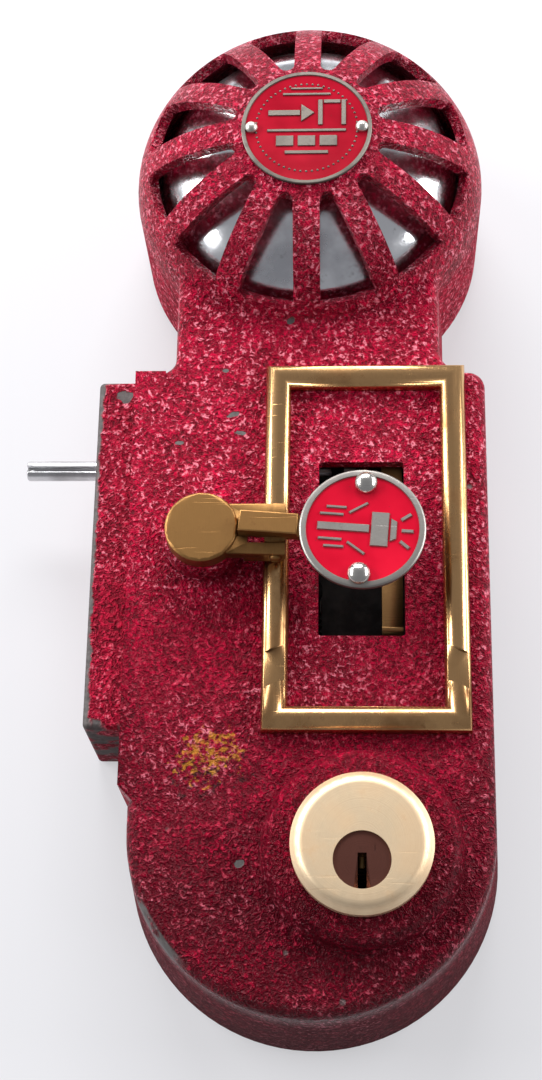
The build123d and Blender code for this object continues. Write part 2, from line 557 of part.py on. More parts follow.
with BuildPart() as striker_arm:
    with BuildSketch(arm_plane(ARM_LOW)):
        with Locations(((ARM_LEFT + ARM_RIGHT) / 2, 0)):
            Rectangle(ARM_RIGHT - ARM_LEFT, ARM_WIDTH)
    extrude(amount=ARM_TOP - ARM_LOW)
    fillet(striker_arm.faces().sort_by(Axis.Y)[0].edges(), 0.4)
    with BuildSketch(arm_plane(ARM_LOW)):
        with Locations((DISC_REACH / 2 + 2, 0)):
            Rectangle(DISC_REACH - 4, ARM_WIDTH)
        with Locations((DISC_REACH, 0)):
            Circle(DISC_R - 1.6)
    extrude(amount=DISC_BACK - ARM_LOW)
    with BuildSketch(Plane.XY.offset(POST_Z - FORK_GAP_HALF + 0.05)):
        with Locations((HINGE_X, -HINGE_HEIGHT)):
            Circle(EAR_ROUND)
        with Locations((HINGE_X, -(HINGE_HEIGHT + ARM_LOW + 0.6) / 2)):
            Rectangle(2 * EAR_ROUND, ARM_LOW + 0.6 - HINGE_HEIGHT)
    extrude(amount=2 * FORK_GAP_HALF - 0.1)
    rod_along_z(HINGE_X, HINGE_HEIGHT, POST_Z - 8, POST_Z + 8, HINGE_PIN_R + 0.05, mode=Mode.SUBTRACT)
    with BuildSketch(arm_plane(ARM_LOW - 1)):
        with Locations((DISC_REACH, DISC_SCREW_OFFSET), (DISC_REACH, -DISC_SCREW_OFFSET)):
            Circle(1.05)
    extrude(amount=4, mode=Mode.SUBTRACT)
finish(striker_arm.part, "striker_arm")

with BuildPart() as strike_disc:
    with BuildSketch(arm_plane(DISC_BACK)):
        with Locations((DISC_REACH, 0)):
            Circle(DISC_R)
        with Locations((DISC_REACH, DISC_SCREW_OFFSET), (DISC_REACH, -DISC_SCREW_OFFSET)):
            Circle(1.05, mode=Mode.SUBTRACT)
    extrude(amount=DISC_TOP - DISC_BACK)
finish(strike_disc.part, "strike_disc")

with BuildPart() as disc_screws:
    with BuildSketch(arm_plane(ARM_LOW + 0.2)):
        with Locations((DISC_REACH, DISC_SCREW_OFFSET), (DISC_REACH, -DISC_SCREW_OFFSET)):
            Circle(1.0)
    extrude(amount=DISC_TOP - ARM_LOW)
    with BuildSketch(arm_plane(DISC_TOP)):
        with Locations((DISC_REACH, DISC_SCREW_OFFSET), (DISC_REACH, -DISC_SCREW_OFFSET)):
            Circle(2.7)
    extrude(amount=1.9)
    fillet(disc_screws.edges().filter_by(GeomType.CIRCLE).group_by(Axis.Y)[0], 1.7)
finish(disc_screws.part, "disc_screws")

with BuildPart() as glass_frame:
    with BuildSketch(front(FACE)):
        with Locations((FRAME_X, FRAME_Z)):
            Rectangle(FRAME_WIDTH, FRAME_TALL)
            Rectangle(FRAME_WIDTH - 2 * RAIL, FRAME_TALL - 2 * RAIL, mode=Mode.SUBTRACT)
    extrude(amount=RAIL_HEIGHT)
    fillet(glass_frame.faces().sort_by(Axis.Y)[0].edges(), RAIL / 2 - 0.05)
    for side in (-1, 1):
        with BuildSketch(front(FACE + RAIL_HEIGHT - NOTCH_DEPTH)):
            rail_middle = FRAME_X + side * (FRAME_WIDTH - RAIL) / 2
            with Locations(Location((rail_middle, NOTCH_Z), -side * NOTCH_ANGLE)):
                Rectangle(RAIL + 3, NOTCH_LENGTH)
        extrude(amount=RAIL_HEIGHT, mode=Mode.SUBTRACT)
    for x, z in FRAME_STUDS:
        bar(x, z, 1.45, FACE - 6, FACE + 1)
finish(glass_frame.part, "glass_frame")

with BuildPart() as frame_nuts:
    for x, z in FRAME_STUDS:
        hexagon(x, z, 5.5, FACE - WALL - 2.4, FACE - WALL)
        bar(x, z, 1.5, FACE - 8, FACE, mode=Mode.SUBTRACT)
finish(frame_nuts.part, "frame_nuts")

with BuildPart() as trip_lever:
    half = TRIP_WIDTH / 2
    slab(TRIP_X - half, TRIP_X + half, TRIP_END_Z, TRIP_PIVOT_Z, TRIP_PIVOT + 2.0, TRIP_PIVOT + 7.5)
    fillet(trip_lever.edges().filter_by(Axis.X).group_by(Axis.Z)[0], 2.0)
    rod_along_x(TRIP_X - half, TRIP_X + half, TRIP_PIVOT_Z, TRIP_PIVOT, 4.2)
    slab(TRIP_X - half, TRIP_X + half, TRIP_PIVOT_Z - 2, TRIP_PIVOT_Z + 1, TRIP_PIVOT, TRIP_PIVOT + 7.5)
    rod_along_x(TRIP_X - 9, TRIP_X + 9, TRIP_PIVOT_Z, TRIP_PIVOT, TRIP_PIN_R + 0.05, mode=Mode.SUBTRACT)
finish(trip_lever.part, "trip_lever")

with BuildPart() as trip_pin:
    rod_along_x(TRIP_EARS[0][0] - 0.6, TRIP_EARS[1][1] + 0.6, TRIP_PIVOT_Z, TRIP_PIVOT, TRIP_PIN_R)
finish(trip_pin.part, "trip_pin")

with BuildPart() as trip_spring:
    coil((TRIP_EARS[0][1] + 0.6, -TRIP_PIVOT, TRIP_PIVOT_Z), (1, 0, 0), 1.9, 2.9, 0.3, 0.75)
finish(trip_spring.part, "trip_spring")

# ---------------------------------------------------------------- nameplate, gong and base plate

with BuildPart() as nameplate:
    with BuildSketch(front(HUB_HEIGHT)):
        with Locations((0, BELL_Z)):
            Circle(16.2)
            with Locations((-13.7, 0), (13.7, 0)):
                Circle(1.0, mode=Mode.SUBTRACT)
    extrude(amount=0.9)
finish(nameplate.part, "nameplate")

with BuildPart() as nameplate_rivets:
    for x in (-13.7, 13.7):
        bar(x, BELL_Z, 0.97, HUB_UNDERSIDE + 0.2, HUB_HEIGHT + 1)
        bar(x, BELL_Z, 1.6, HUB_HEIGHT + 0.9, HUB_HEIGHT + 2.1)
    fillet(nameplate_rivets.edges().filter_by(GeomType.CIRCLE).group_by(Axis.Y)[0], 1.0)
finish(nameplate_rivets.part, "nameplate_rivets")

with BuildPart() as gong:
    for mode, shrink in ((Mode.ADD, 0.0), (Mode.SUBTRACT, GONG_WALL)):
        with BuildSketch(radius_plane(0, BELL_Z)):
            with BuildLine():
                dome = EllipticalCenterArc((0, GONG_BASE), GONG_R - shrink, GONG_RISE - shrink, arc_size=90)
                Polyline(dome @ 1, (0, GONG_SKIRT), (GONG_R - shrink, GONG_SKIRT), dome @ 0)
            make_face()
        revolve(axis=door_axis(0, BELL_Z), mode=mode)
    bar(0, BELL_Z, 2.6, 40, 60, mode=Mode.SUBTRACT)
finish(gong.part, "gong")

GONG_TOP = GONG_BASE + GONG_RISE

with BuildPart() as gong_post:
    turned(0, BELL_Z, [
        (0, 0.4), (2.0, 0.4), (2.0, PLATE), (6.0, PLATE), (6.0, PLATE + 1.6), (3.4, PLATE + 2.6),
        (3.4, GONG_TOP - GONG_WALL - 0.2), (2.5, GONG_TOP - GONG_WALL - 0.2), (2.5, HUB_UNDERSIDE - 0.6),
        (0, HUB_UNDERSIDE - 0.6),
    ])
finish(gong_post.part, "gong_post")

with BuildPart() as gong_nut:
    hexagon(0, BELL_Z, 8.0, GONG_TOP + 0.05, GONG_TOP + 2.8)
    bar(0, BELL_Z, 2.55, 40, 60, mode=Mode.SUBTRACT)
finish(gong_nut.part, "gong_nut")

with BuildPart() as base_plate:
    with BuildSketch(front(0)):
        body_outline(PLATE_INSET)
    extrude(amount=PLATE)
    bar(0, BELL_Z, BELL_R - PLATE_INSET, 0, PLATE)
    for x, z in DOOR_HOLES:
        bar(x, z, DOOR_HOLE_R, -1, 5, mode=Mode.SUBTRACT)
    for x, z, top in SCREW_POSTS:
        turned(x, z, [(0, -0.1), (4.1, -0.1), (2.05, PLATE - 0.7), (2.05, 4), (0, 4)], mode=Mode.SUBTRACT)
    for x, z, radius in (
        (CRANK_X, CRANK_Z, 2.4), (spring_end[0] + 1.6, SPRING_STUD_Z, 1.2), (0, BELL_Z, 2.0),
        (16.0, STUD_ZS[0], 1.6), (16.0, STUD_ZS[1], 1.6), (13.0, 27.0, 1.5), (13.0, 33.0, 1.5),
    ):
        bar(x, z, radius + 0.02, -1, 5, mode=Mode.SUBTRACT)
    for x, z in PILLARS:
        bar(x, z, 1.3, -1, 5, mode=Mode.SUBTRACT)
finish(base_plate.part, "base_plate")

with BuildPart() as door_nuts:
    for x, z in DOOR_HOLES:
        hexagon(x, z, 10.0, PLATE, PLATE + 4.6)
        bar(x, z, DOOR_HOLE_R, 0, 10, mode=Mode.SUBTRACT)
finish(door_nuts.part, "door_nuts")

with BuildPart() as cover_screws:
    for x, z, top in SCREW_POSTS:
        turned(x, z, [(0, 0.15), (3.8, 0.15), (1.95, PLATE - 0.75), (1.95, PLATE + 9), (0, PLATE + 9)])
finish(cover_screws.part, "cover_screws")

# ---------------------------------------------------------------- clockwork

PLATE_OUTLINE = (-30.4, 26.0, 73.5, 110.5)


def movement_plate(low):
    """One of the two plates that hold the wheels, with its pivot holes."""
    x0, x1, z0, z1 = PLATE_OUTLINE
    with BuildSketch(front(low)) as section:
        with Locations(((x0 + x1) / 2, (z0 + z1) / 2)):
            RectangleRounded(x1 - x0, z1 - z0, 6.0)
        with Locations((0, BELL_Z)):
            Circle(5.0, mode=Mode.SUBTRACT)
        with Locations((ESCAPE_X, ESCAPE_Z), (HAMMER_X, HAMMER_Z)):
            Circle(1.05, mode=Mode.SUBTRACT)
        with Locations((BARREL_X, BARREL_Z)):
            Circle(2.55, mode=Mode.SUBTRACT)
        with Locations(*PILLARS):
            Circle(1.3, mode=Mode.SUBTRACT)
    extrude(section.sketch, amount=MOVEMENT_PLATE)


with BuildPart() as movement_rear_plate:
    movement_plate(REAR_PLATE)
finish(movement_rear_plate.part, "movement_rear_plate")

with BuildPart() as movement_front_plate:
    movement_plate(FRONT_PLATE)
    bar(-4.0, 98.0, 1.0, FRONT_PLATE + MOVEMENT_PLATE, FRONT_PLATE + 4.4)
finish(movement_front_plate.part, "movement_front_plate")

with BuildPart() as rear_spacers:
    for x, z in PILLARS:
        turned(x, z, [(1.3, PLATE), (2.4, PLATE), (2.4, REAR_PLATE), (1.3, REAR_PLATE)])
finish(rear_spacers.part, "rear_spacers")

with BuildPart() as plate_pillars:
    for x, z in PILLARS:
        low = REAR_PLATE + MOVEMENT_PLATE
        turned(x, z, [(1.3, low), (2.4, low), (1.9, low + 2), (1.9, FRONT_PLATE - 2), (2.4, FRONT_PLATE),
                      (1.3, FRONT_PLATE)])
finish(plate_pillars.part, "plate_pillars")

with BuildPart() as pillar_screws:
    for x, z in PILLARS:
        top = FRONT_PLATE + MOVEMENT_PLATE
        turned(x, z, [(0, 0.5), (1.25, 0.5), (1.25, top), (2.5, top), (2.5, top + 1.2), (2.0, top + 1.7),
                      (0, top + 1.7)])
        slab(x - 2.6, x + 2.6, z - 0.35, z + 0.35, top + 0.9, top + 3, mode=Mode.SUBTRACT)
finish(pillar_screws.part, "pillar_screws")

mesh_angle = -25.0
DRUM_R, DRUM_WALL, WHEEL_LOW, WHEEL_TOP, DRUM_TOP = 12.0, 0.9, 9.0, 10.8, 17.4

with BuildPart() as spring_barrel:
    with BuildSketch(front(WHEEL_LOW)):
        with Locations((BARREL_X, BARREL_Z)):
            gear_outline(WHEEL_TEETH, mesh_angle)
    extrude(amount=WHEEL_TOP - WHEEL_LOW)
    bar(BARREL_X, BARREL_Z, DRUM_R, WHEEL_TOP, DRUM_TOP)
    bar(BARREL_X, BARREL_Z, DRUM_R - DRUM_WALL, WHEEL_TOP, DRUM_TOP + 1, mode=Mode.SUBTRACT)
    bar(BARREL_X, BARREL_Z, 2.55, 0, 30, mode=Mode.SUBTRACT)
finish(spring_barrel.part, "spring_barrel")

with BuildPart() as barrel_lid:
    bar(BARREL_X, BARREL_Z, DRUM_R, DRUM_TOP, DRUM_TOP + 0.7)
    bar(BARREL_X, BARREL_Z, 2.55, 0, 30, mode=Mode.SUBTRACT)
finish(barrel_lid.part, "barrel_lid")

# The mainspring is drawn as half turns whose radius grows by half a pitch each time.
with BuildPart() as mainspring:
    spring_pitch, strip = 0.9, 0.35
    with BuildSketch(front(WHEEL_TOP + 0.3)):
        with BuildLine() as spiral:
            start_x, radius, side = -3.2, 3.2, 1
            for half_turn in range(16):
                end_x = start_x + side * 2 * radius
                ThreePointArc(
                    (BARREL_X + start_x, BARREL_Z),
                    (BARREL_X + (start_x + end_x) / 2, BARREL_Z + side * radius),
                    (BARREL_X + end_x, BARREL_Z),
                )
                start_x, side = end_x, -side
                radius += spring_pitch / 2
        trace(line_width=strip)
    extrude(amount=DRUM_TOP - WHEEL_TOP - 0.6)
finish(mainspring.part, "mainspring")

with BuildPart() as barrel_arbor:
    turned(BARREL_X, BARREL_Z, [(0, 5.4), (2.5, 5.4), (2.5, 22.6), (0, 22.6)])
    with BuildSketch(front(22.6)):
        with Locations((BARREL_X, BARREL_Z)):
            Rectangle(3.4, 3.4)
    extrude(amount=3.2)
finish(barrel_arbor.part, "barrel_arbor")

RATCHET_TEETH, RATCHET_R = 16, 6.4

with BuildPart() as ratchet_wheel:
    step = 360 / RATCHET_TEETH
    corners = []
    for tooth in range(RATCHET_TEETH):
        for radius, share in ((RATCHET_R, 0.0), (RATCHET_R - 1.2, 0.05)):
            angle = radians((tooth + share) * step)
            corners.append((radius * cos(angle), radius * sin(angle)))
    with BuildSketch(front(20.6)):
        with Locations((BARREL_X, BARREL_Z)):
            Polygon(*corners, align=None)
            Circle(2.52, mode=Mode.SUBTRACT)
    extrude(amount=1.4)
finish(ratchet_wheel.part, "ratchet_wheel")

with BuildPart() as winding_click:
    link([(-4.0, 98.0), (-8.9, 95.4)], [2.0, 0.7], 20.6, 21.9)
    bar(-4.0, 98.0, 1.05, 20, 23, mode=Mode.SUBTRACT)
finish(winding_click.part, "winding_click")

with BuildPart() as escape_wheel:
    with BuildSketch(front(WHEEL_LOW - 0.3)):
        with Locations((ESCAPE_X, ESCAPE_Z)):
            gear_outline(PINION_TEETH, mesh_angle + 180 + 180 / PINION_TEETH)
    extrude(amount=2.4)
    bar(ESCAPE_X, ESCAPE_Z, 1.0, REAR_PLATE, FRONT_PLATE + MOVEMENT_PLATE)
    escape_corners = []
    for tooth in range(12):
        for radius, share in ((6.2, 0.0), (4.4, 0.25), (4.4, 0.7)):
            angle = radians((tooth + share) * 30)
            escape_corners.append((radius * cos(angle), radius * sin(angle)))
    with BuildSketch(front(13.0)):
        with Locations((ESCAPE_X, ESCAPE_Z)):
            Polygon(*escape_corners, align=None)
    extrude(amount=1.3)
finish(escape_wheel.part, "escape_wheel")

with BuildPart() as hammer_arm:
    bar(HAMMER_X, HAMMER_Z, 1.0, REAR_PLATE, 23.6)
    link([(HAMMER_X, HAMMER_Z), (HAMMER_X - 3.4, HAMMER_Z + 3.6)], [2.0, 0.8], 13.0, 14.3)
    link([(HAMMER_X, HAMMER_Z), (HAMMER_X - 3.0, HAMMER_Z - 3.4)], [2.0, 0.8], 13.0, 14.3)
    link([(HAMMER_X, HAMMER_Z), (HAMMER_HEAD_X, HAMMER_HEAD_Z)], [2.6, 1.8], 22.0, 23.4)
    bar(HAMMER_HEAD_X, HAMMER_HEAD_Z, 1.2, 22.0, 27.0)
finish(hammer_arm.part, "hammer_arm")

with BuildPart() as hammer_head:
    turned(HAMMER_HEAD_X, HAMMER_HEAD_Z, [
        (1.25, 24.2), (2.8, 24.2), (3.4, 24.8), (3.4, 32.0), (2.8, 32.6), (0, 32.6), (0, 27.1), (1.25, 27.1),
    ])
finish(hammer_head.part, "hammer_head")
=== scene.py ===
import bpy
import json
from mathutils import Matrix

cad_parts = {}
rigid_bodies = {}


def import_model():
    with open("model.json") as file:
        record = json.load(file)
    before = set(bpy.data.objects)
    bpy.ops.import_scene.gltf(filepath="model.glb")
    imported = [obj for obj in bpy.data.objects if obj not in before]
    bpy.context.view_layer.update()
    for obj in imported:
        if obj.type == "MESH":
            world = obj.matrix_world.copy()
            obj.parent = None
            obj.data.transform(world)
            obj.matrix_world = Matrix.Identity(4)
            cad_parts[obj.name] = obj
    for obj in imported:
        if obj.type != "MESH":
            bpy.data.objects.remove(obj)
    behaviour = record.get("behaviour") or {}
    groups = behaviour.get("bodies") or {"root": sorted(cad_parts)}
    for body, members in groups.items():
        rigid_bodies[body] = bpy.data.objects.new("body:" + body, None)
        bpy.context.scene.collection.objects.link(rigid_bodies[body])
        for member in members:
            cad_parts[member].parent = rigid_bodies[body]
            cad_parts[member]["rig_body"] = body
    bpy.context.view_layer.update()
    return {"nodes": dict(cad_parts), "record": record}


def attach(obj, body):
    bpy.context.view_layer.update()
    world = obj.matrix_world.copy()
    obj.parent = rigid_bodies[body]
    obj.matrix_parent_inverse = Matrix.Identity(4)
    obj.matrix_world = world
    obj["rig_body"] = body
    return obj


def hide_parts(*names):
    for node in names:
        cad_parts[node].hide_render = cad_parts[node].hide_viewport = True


bl_info = {
    "name": "Exit lock looks",
    "version": (1, 0, 0),
    "blender": (4, 5, 0),
    "location": "3D View > Sidebar > Exit lock",
    "description": "Finishes, relief plates and stage for an exit lock with an alarm bell",
    "category": "Object",
}

import json
import math

import bmesh
import bpy
from mathutils import Vector

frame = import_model()

MM = 0.001
BELL_X, BELL_Z = 0.0, 103.5
HINGE = (-6.8, 1.2)
ARM_COS, ARM_SIN = math.cos(math.radians(4.4)), math.sin(math.radians(4.4))
DISC_REACH, DISC_SCREW_OFFSET = 20.5, 11.3
DISC_X = HINGE[0] + DISC_REACH * ARM_COS
DISC_Z = HINGE[1] - DISC_REACH * ARM_SIN
DISC_BACK, DISC_TOP = 49.92, 51.6
NAMEPLATE_BACK, NAMEPLATE_TOP, NAMEPLATE_FIELD = 58.42, 59.3, 59.0
RIVET_OFFSET = 13.7
CYLINDER = (13.4, -73.0)
PLUG = (13.4, -77.2)


# ---------------------------------------------------------------- shader maths


class Value:
    """A shader socket that Python's operators work on; each one adds a Math node."""

    def __init__(self, tree, socket):
        self.tree = tree
        self.socket = socket

    def math(self, operation, *others, clamp=False):
        node = self.tree.nodes.new("ShaderNodeMath")
        node.operation = operation
        node.use_clamp = clamp
        for socket, value in zip(node.inputs, (self, *others)):
            if isinstance(value, Value):
                self.tree.links.new(value.socket, socket)
            else:
                socket.default_value = value
        return Value(self.tree, node.outputs[0])

    def _swapped(self, operation, other):
        node = self.tree.nodes.new("ShaderNodeMath")
        node.operation = operation
        node.inputs[0].default_value = other
        self.tree.links.new(self.socket, node.inputs[1])
        return Value(self.tree, node.outputs[0])

    def __add__(self, other):
        return self.math("ADD", other)

    __radd__ = __add__

    def __sub__(self, other):
        return self.math("SUBTRACT", other)

    def __rsub__(self, other):
        return self._swapped("SUBTRACT", other)

    def __mul__(self, other):
        return self.math("MULTIPLY", other)

    __rmul__ = __mul__

    def __truediv__(self, other):
        return self.math("DIVIDE", other)

    def __pow__(self, other):
        return self.math("POWER", other)

    def clamp(self):
        return self.math("ADD", 0.0, clamp=True)

    def abs(self):
        return self.math("ABSOLUTE")

    def most(self, other):
        return self.math("MAXIMUM", other)

    def rise(self, low, high):
        """0 below low, 1 above high, smooth between; low above high turns it round."""
        node = self.tree.nodes.new("ShaderNodeMapRange")
        node.interpolation_type = "SMOOTHSTEP"
        self.tree.links.new(self.socket, node.inputs["Value"])
        turned = low > high
        node.inputs["From Min"].default_value = min(low, high)
        node.inputs["From Max"].default_value = max(low, high)
        node.inputs["To Min"].default_value = 1.0 if turned else 0.0
        node.inputs["To Max"].default_value = 0.0 if turned else 1.0
        return Value(self.tree, node.outputs["Result"])


class Finish:
    """A material on a Principled shader, built from Object coordinates in millimetres."""

    def __init__(self, name, **constants):
        self.material = bpy.data.materials.new(name)
        self.material.use_nodes = True
        self.tree = self.material.node_tree
        self.shader = self.tree.nodes["Principled BSDF"]
        for socket, value in constants.items():
            self.shader.inputs[socket.replace("_", " ")].default_value = value
        spot = self.node("ShaderNodeTexCoord").outputs["Object"]
        scaled = self.node("ShaderNodeVectorMath", {"operation": "SCALE"}, {0: spot, "Scale": 1000.0})
        self.place = scaled.outputs[0]
        axes = self.node("ShaderNodeSeparateXYZ", inputs={0: self.place}).outputs
        self.x, self.y, self.z = (Value(self.tree, socket) for socket in axes)

    def node(self, kind, settings=None, inputs=None):
        """A node of any type: its settings first, then the values or links of its sockets."""
        node = self.tree.nodes.new(kind)
        for key, value in (settings or {}).items():
            if key == "stops":
                ramp = node.color_ramp
                while len(ramp.elements) < len(value):
                    ramp.elements.new(0.5)
                for element, (position, colour) in zip(ramp.elements, value):
                    element.position = position
                    element.color = colour
            else:
                setattr(node, key, value)
        for key, value in (inputs or {}).items():
            if isinstance(value, Value):
                self.tree.links.new(value.socket, node.inputs[key])
            elif isinstance(value, bpy.types.NodeSocket):
                self.tree.links.new(value, node.inputs[key])
            else:
                node.inputs[key].default_value = value
        return node

    def stretched(self, x, y, z):
        """The place with each axis scaled, for grain and brush lines."""
        node = self.node("ShaderNodeMapping", inputs={"Vector": self.place, "Scale": (x, y, z)})
        return node.outputs[0]

    def moved(self, x, y, z):
        node = self.node("ShaderNodeMapping", inputs={"Vector": self.place, "Location": (x, y, z)})
        return node.outputs[0]

    def noise(self, size, detail=2.0, roughness=0.5, distortion=0.0, at=None):
        """Soft noise whose blobs are about this many millimetres across."""
        node = self.node("ShaderNodeTexNoise", inputs={
            "Vector": at or self.place, "Scale": 1.0 / size, "Detail": detail,
            "Roughness": roughness, "Distortion": distortion,
        })
        return Value(self.tree, node.outputs["Fac"])

    def cells(self, size, at=None):
        """The distance to the nearest of scattered points, about this many millimetres apart."""
        node = self.node("ShaderNodeTexVoronoi", inputs={"Vector": at or self.place, "Scale": 1.0 / size})
        return Value(self.tree, node.outputs["Distance"])

    def worms(self, size, distortion, at=None):
        """Short curly ridges, 1 on the ridge and 0 between ridges."""
        field = self.noise(size, 1.0, 0.45, distortion, at)
        return 1.0 - ((field - 0.5).abs() * 9.0).clamp()

    def radius(self, x, z):
        """The distance from an axis square to the door, in millimetres."""
        return ((self.x - x) ** 2.0 + (self.z - z) ** 2.0) ** 0.5

    def spot(self, x, z, length, width, turn=0.0, ragged=0.35):
        """A ragged mark on the face: 1 inside, 0 outside."""
        c, s = math.cos(math.radians(turn)), math.sin(math.radians(turn))
        along = ((self.x - x) * c + (self.z - z) * s) / length
        across = ((self.z - z) * c - (self.x - x) * s) / width
        far = (along ** 2.0 + across ** 2.0) ** 0.5
        return (far + (self.noise(1.7, 3.0) - 0.5) * (ragged * 4.0)).rise(1.0, 0.86)

    def mix(self, factor, first, second):
        """A colour between two, each an (r, g, b) or a colour socket."""
        first, second = ((*c, 1.0) if isinstance(c, tuple) else c for c in (first, second))
        node = self.node("ShaderNodeMix", {"data_type": "RGBA"}, {0: factor, 6: first, 7: second})
        return node.outputs[2]

    def colour(self, socket):
        self.tree.links.new(socket, self.shader.inputs["Base Color"])

    def set(self, name, value):
        if isinstance(value, Value):
            self.tree.links.new(value.socket, self.shader.inputs[name])
        else:
            self.shader.inputs[name].default_value = value

    def bump(self, height, depth, strength=1.0):
        """Heights of 0 to 1 become this many millimetres; a second call goes over the first."""
        inputs = {"Height": height, "Distance": depth * MM, "Strength": strength}
        normal = self.shader.inputs["Normal"]
        if normal.is_linked:
            inputs["Normal"] = normal.links[0].from_socket
        node = self.node("ShaderNodeBump", inputs=inputs)
        self.tree.links.new(node.outputs[0], normal)


def wrinkle_enamel(name, chips=(), scuffs=(), bare=None, foot_shade=0.0):
    """Thick crimson wrinkle enamel: glossy curly ridges with painted shade between them and painted glints
    on their crests, painted shade on the low walls, at the bell's top and towards the foot, and chips to
    bare metal.
    """
    f = Finish(name, IOR=1.5, Specular_IOR_Level=0.10)
    warp = f.noise(7.0, 2.0)
    pebble = f.noise(1.15, 1.5, 0.55, 0.7).rise(0.40, 0.66)
    curl = f.worms(2.4, 1.5).most(f.worms(2.0, 1.9, f.moved(31.0, 17.0, 5.0)) * 0.9)
    relief = (pebble * 0.62 + curl * 0.50) * (0.62 + warp * 0.65)
    grain = f.noise(0.45, 2.0)
    patchy = f.noise(15.0, 3.0, 0.6)
    # painted shade: the valleys between the wrinkle ridges are a darker red and the ridge tops a lighter
    # red
    valley_shade_red = f.mix(patchy.rise(0.35, 0.72), (0.075, 0.0002, 0.0050), (0.150, 0.0004, 0.0110))
    top = f.mix(warp.rise(0.35, 0.7), (0.460, 0.0030, 0.0330), (0.620, 0.0060, 0.0500))
    paint = f.mix((relief * 1.05 + grain * 0.14 - 0.08).clamp(), valley_shade_red, top)
    crests = relief.rise(0.50, 0.82) * f.noise(1.5, 2.0).rise(0.45, 0.62)
    # painted glints: pale pink highlights on the ridge crests, thicker towards the top where the light
    # glances
    painted_glints = crests * (f.noise(26.0, 2.0) + f.z.rise(-90.0, 60.0) * 0.26).rise(0.40, 0.72)
    paint = f.mix(painted_glints * 0.72, paint, (0.88, 0.29, 0.37))
    # painted shade: the low side walls near the foot are darkened
    shaded_low_walls = f.y.rise(-30.0, -4.0) * f.z.rise(40.0, -20.0)
    paint = f.mix(shaded_low_walls * 0.45, paint, (0.050, 0.0005, 0.0040))
    # painted shade: the red darkens towards the top of the bell
    paint = f.mix(f.z.rise(100.0, 142.0) * 0.38, paint, (0.090, 0.0006, 0.0080))
    # painted shade: the enamel darkens towards the foot, a little less on the ridge crests
    if foot_shade:
        painted_foot_shade = f.z.rise(25.0, -100.0) * foot_shade * (1.0 - crests * 0.45)
        paint = f.mix(painted_foot_shade, paint, (0.040, 0.0004, 0.0035))
    worn = None
    for chip in chips:
        mark = f.spot(*chip)
        worn = mark if worn is None else worn.most(mark)
    flecks = f.cells(9.0).rise(0.10, 0.055) * f.noise(60.0, 1.0).rise(0.52, 0.60)
    worn = flecks * 0.8 if worn is None else worn.most(flecks * 0.8)
    if bare is not None:
        worn = worn.most(bare(f))
    worn = worn.clamp()
    metal = f.mix(f.noise(1.4, 3.0), (0.060, 0.050, 0.050), (0.20, 0.185, 0.18))
    paint = f.mix(worn, paint, metal)
    for x, z, length, width, turn in scuffs:
        smear = f.spot(x, z, length, width, turn, 0.9) * f.noise(1.3, 3.0).rise(0.42, 0.62)
        soot = f.spot(x, z - 5.0, length * 1.2, width * 0.9, turn, 0.9) * f.noise(1.8, 3.0).rise(0.48, 0.6)
        paint = f.mix(soot * 0.75, paint, (0.020, 0.008, 0.008))
        paint = f.mix(smear * 0.65, paint, (0.50, 0.22, 0.02))
    f.colour(paint)
    side_walls = f.y.rise(-36.0, -24.0)
    f.set("Roughness", 0.34 - relief * 0.14 + worn * 0.22 + grain * 0.06 + side_walls * 0.42)
    f.set("Metallic", worn * 0.7)
    f.bump(relief * (1.0 - worn) + grain * 0.10, 0.55, 1.0)
    return f.material


def smooth_enamel(name, low, high):
    """Red glass enamel in a sunk field, between two tones, with a few dark pinholes."""
    f = Finish(name, IOR=1.5, Specular_IOR_Level=0.16, Coat_Roughness=0.05)
    cloud = f.noise(9.0, 2.0)
    pits = f.cells(2.6).rise(0.055, 0.02)
    red = f.mix(cloud.rise(0.3, 0.75), low, high)
    f.colour(f.mix(pits * 0.8, red, (0.05, 0.01, 0.01)))
    f.set("Roughness", 0.16 + cloud * 0.10 + pits * 0.4)
    f.set("Coat Weight", 0.05 - pits * 0.05)
    f.bump(f.noise(3.5, 2.0), 0.05, 0.5)
    return f.material


def metal_finish(name, light, dark, rough, brush=None, tarnish=0.35, scratch=0.5, ring=None, pits=0.0):
    """Bare metal: two tones of tarnish, brush lines along an axis or round one, scratches and pits."""
    f = Finish(name, Metallic=1.0)
    cloud = f.noise(14.0, 4.0, 0.6)
    spots = f.noise(3.2, 3.0, 0.65)
    stain = cloud.rise(0.42, 0.70) * tarnish + spots.rise(0.58, 0.75) * (tarnish * 0.6)
    tone = f.mix(stain.clamp(), light, dark)
    lines = f.noise(1.0, 3.0, 0.6, at=f.stretched(*brush)) if brush else f.noise(0.35, 3.0, 0.6)
    if ring is not None:
        turns = f.radius(*ring)
        lines = f.node("ShaderNodeTexNoise", {"noise_dimensions": "1D"}, {
            "W": turns, "Scale": 3.6, "Detail": 4.0, "Roughness": 0.7,
        }).outputs[0]
        lines = Value(f.tree, lines)
    tone = f.mix((lines - 0.35).clamp() * 0.35, tone, dark)
    nick = f.cells(6.5, at=f.stretched(1.0, 1.0, 0.22)).rise(0.045, 0.015)
    hair = f.noise(1.0, 2.0, 0.5, at=f.stretched(0.05, 0.05, 1.6)).rise(0.66, 0.72) * scratch
    f.colour(f.mix((nick * 0.7 + hair * 0.35).clamp(), tone, dark))
    f.set("Roughness", rough + stain * 0.22 + lines * 0.12 + hair * 0.08)
    f.bump(lines + nick * -1.5 + hair * -0.8 + spots * pits, 0.035, 0.6)
    return f.material


def dark_cast(name, low, high, rough):
    """Plain inner metal with an oily, uneven surface."""
    f = Finish(name, Metallic=1.0)
    cloud = f.noise(6.0, 4.0, 0.6)
    f.colour(f.mix(cloud.rise(0.35, 0.7), low, high))
    f.set("Roughness", rough + cloud * 0.2)
    f.bump(f.noise(0.8, 3.0), 0.05, 0.5)
    return f.material


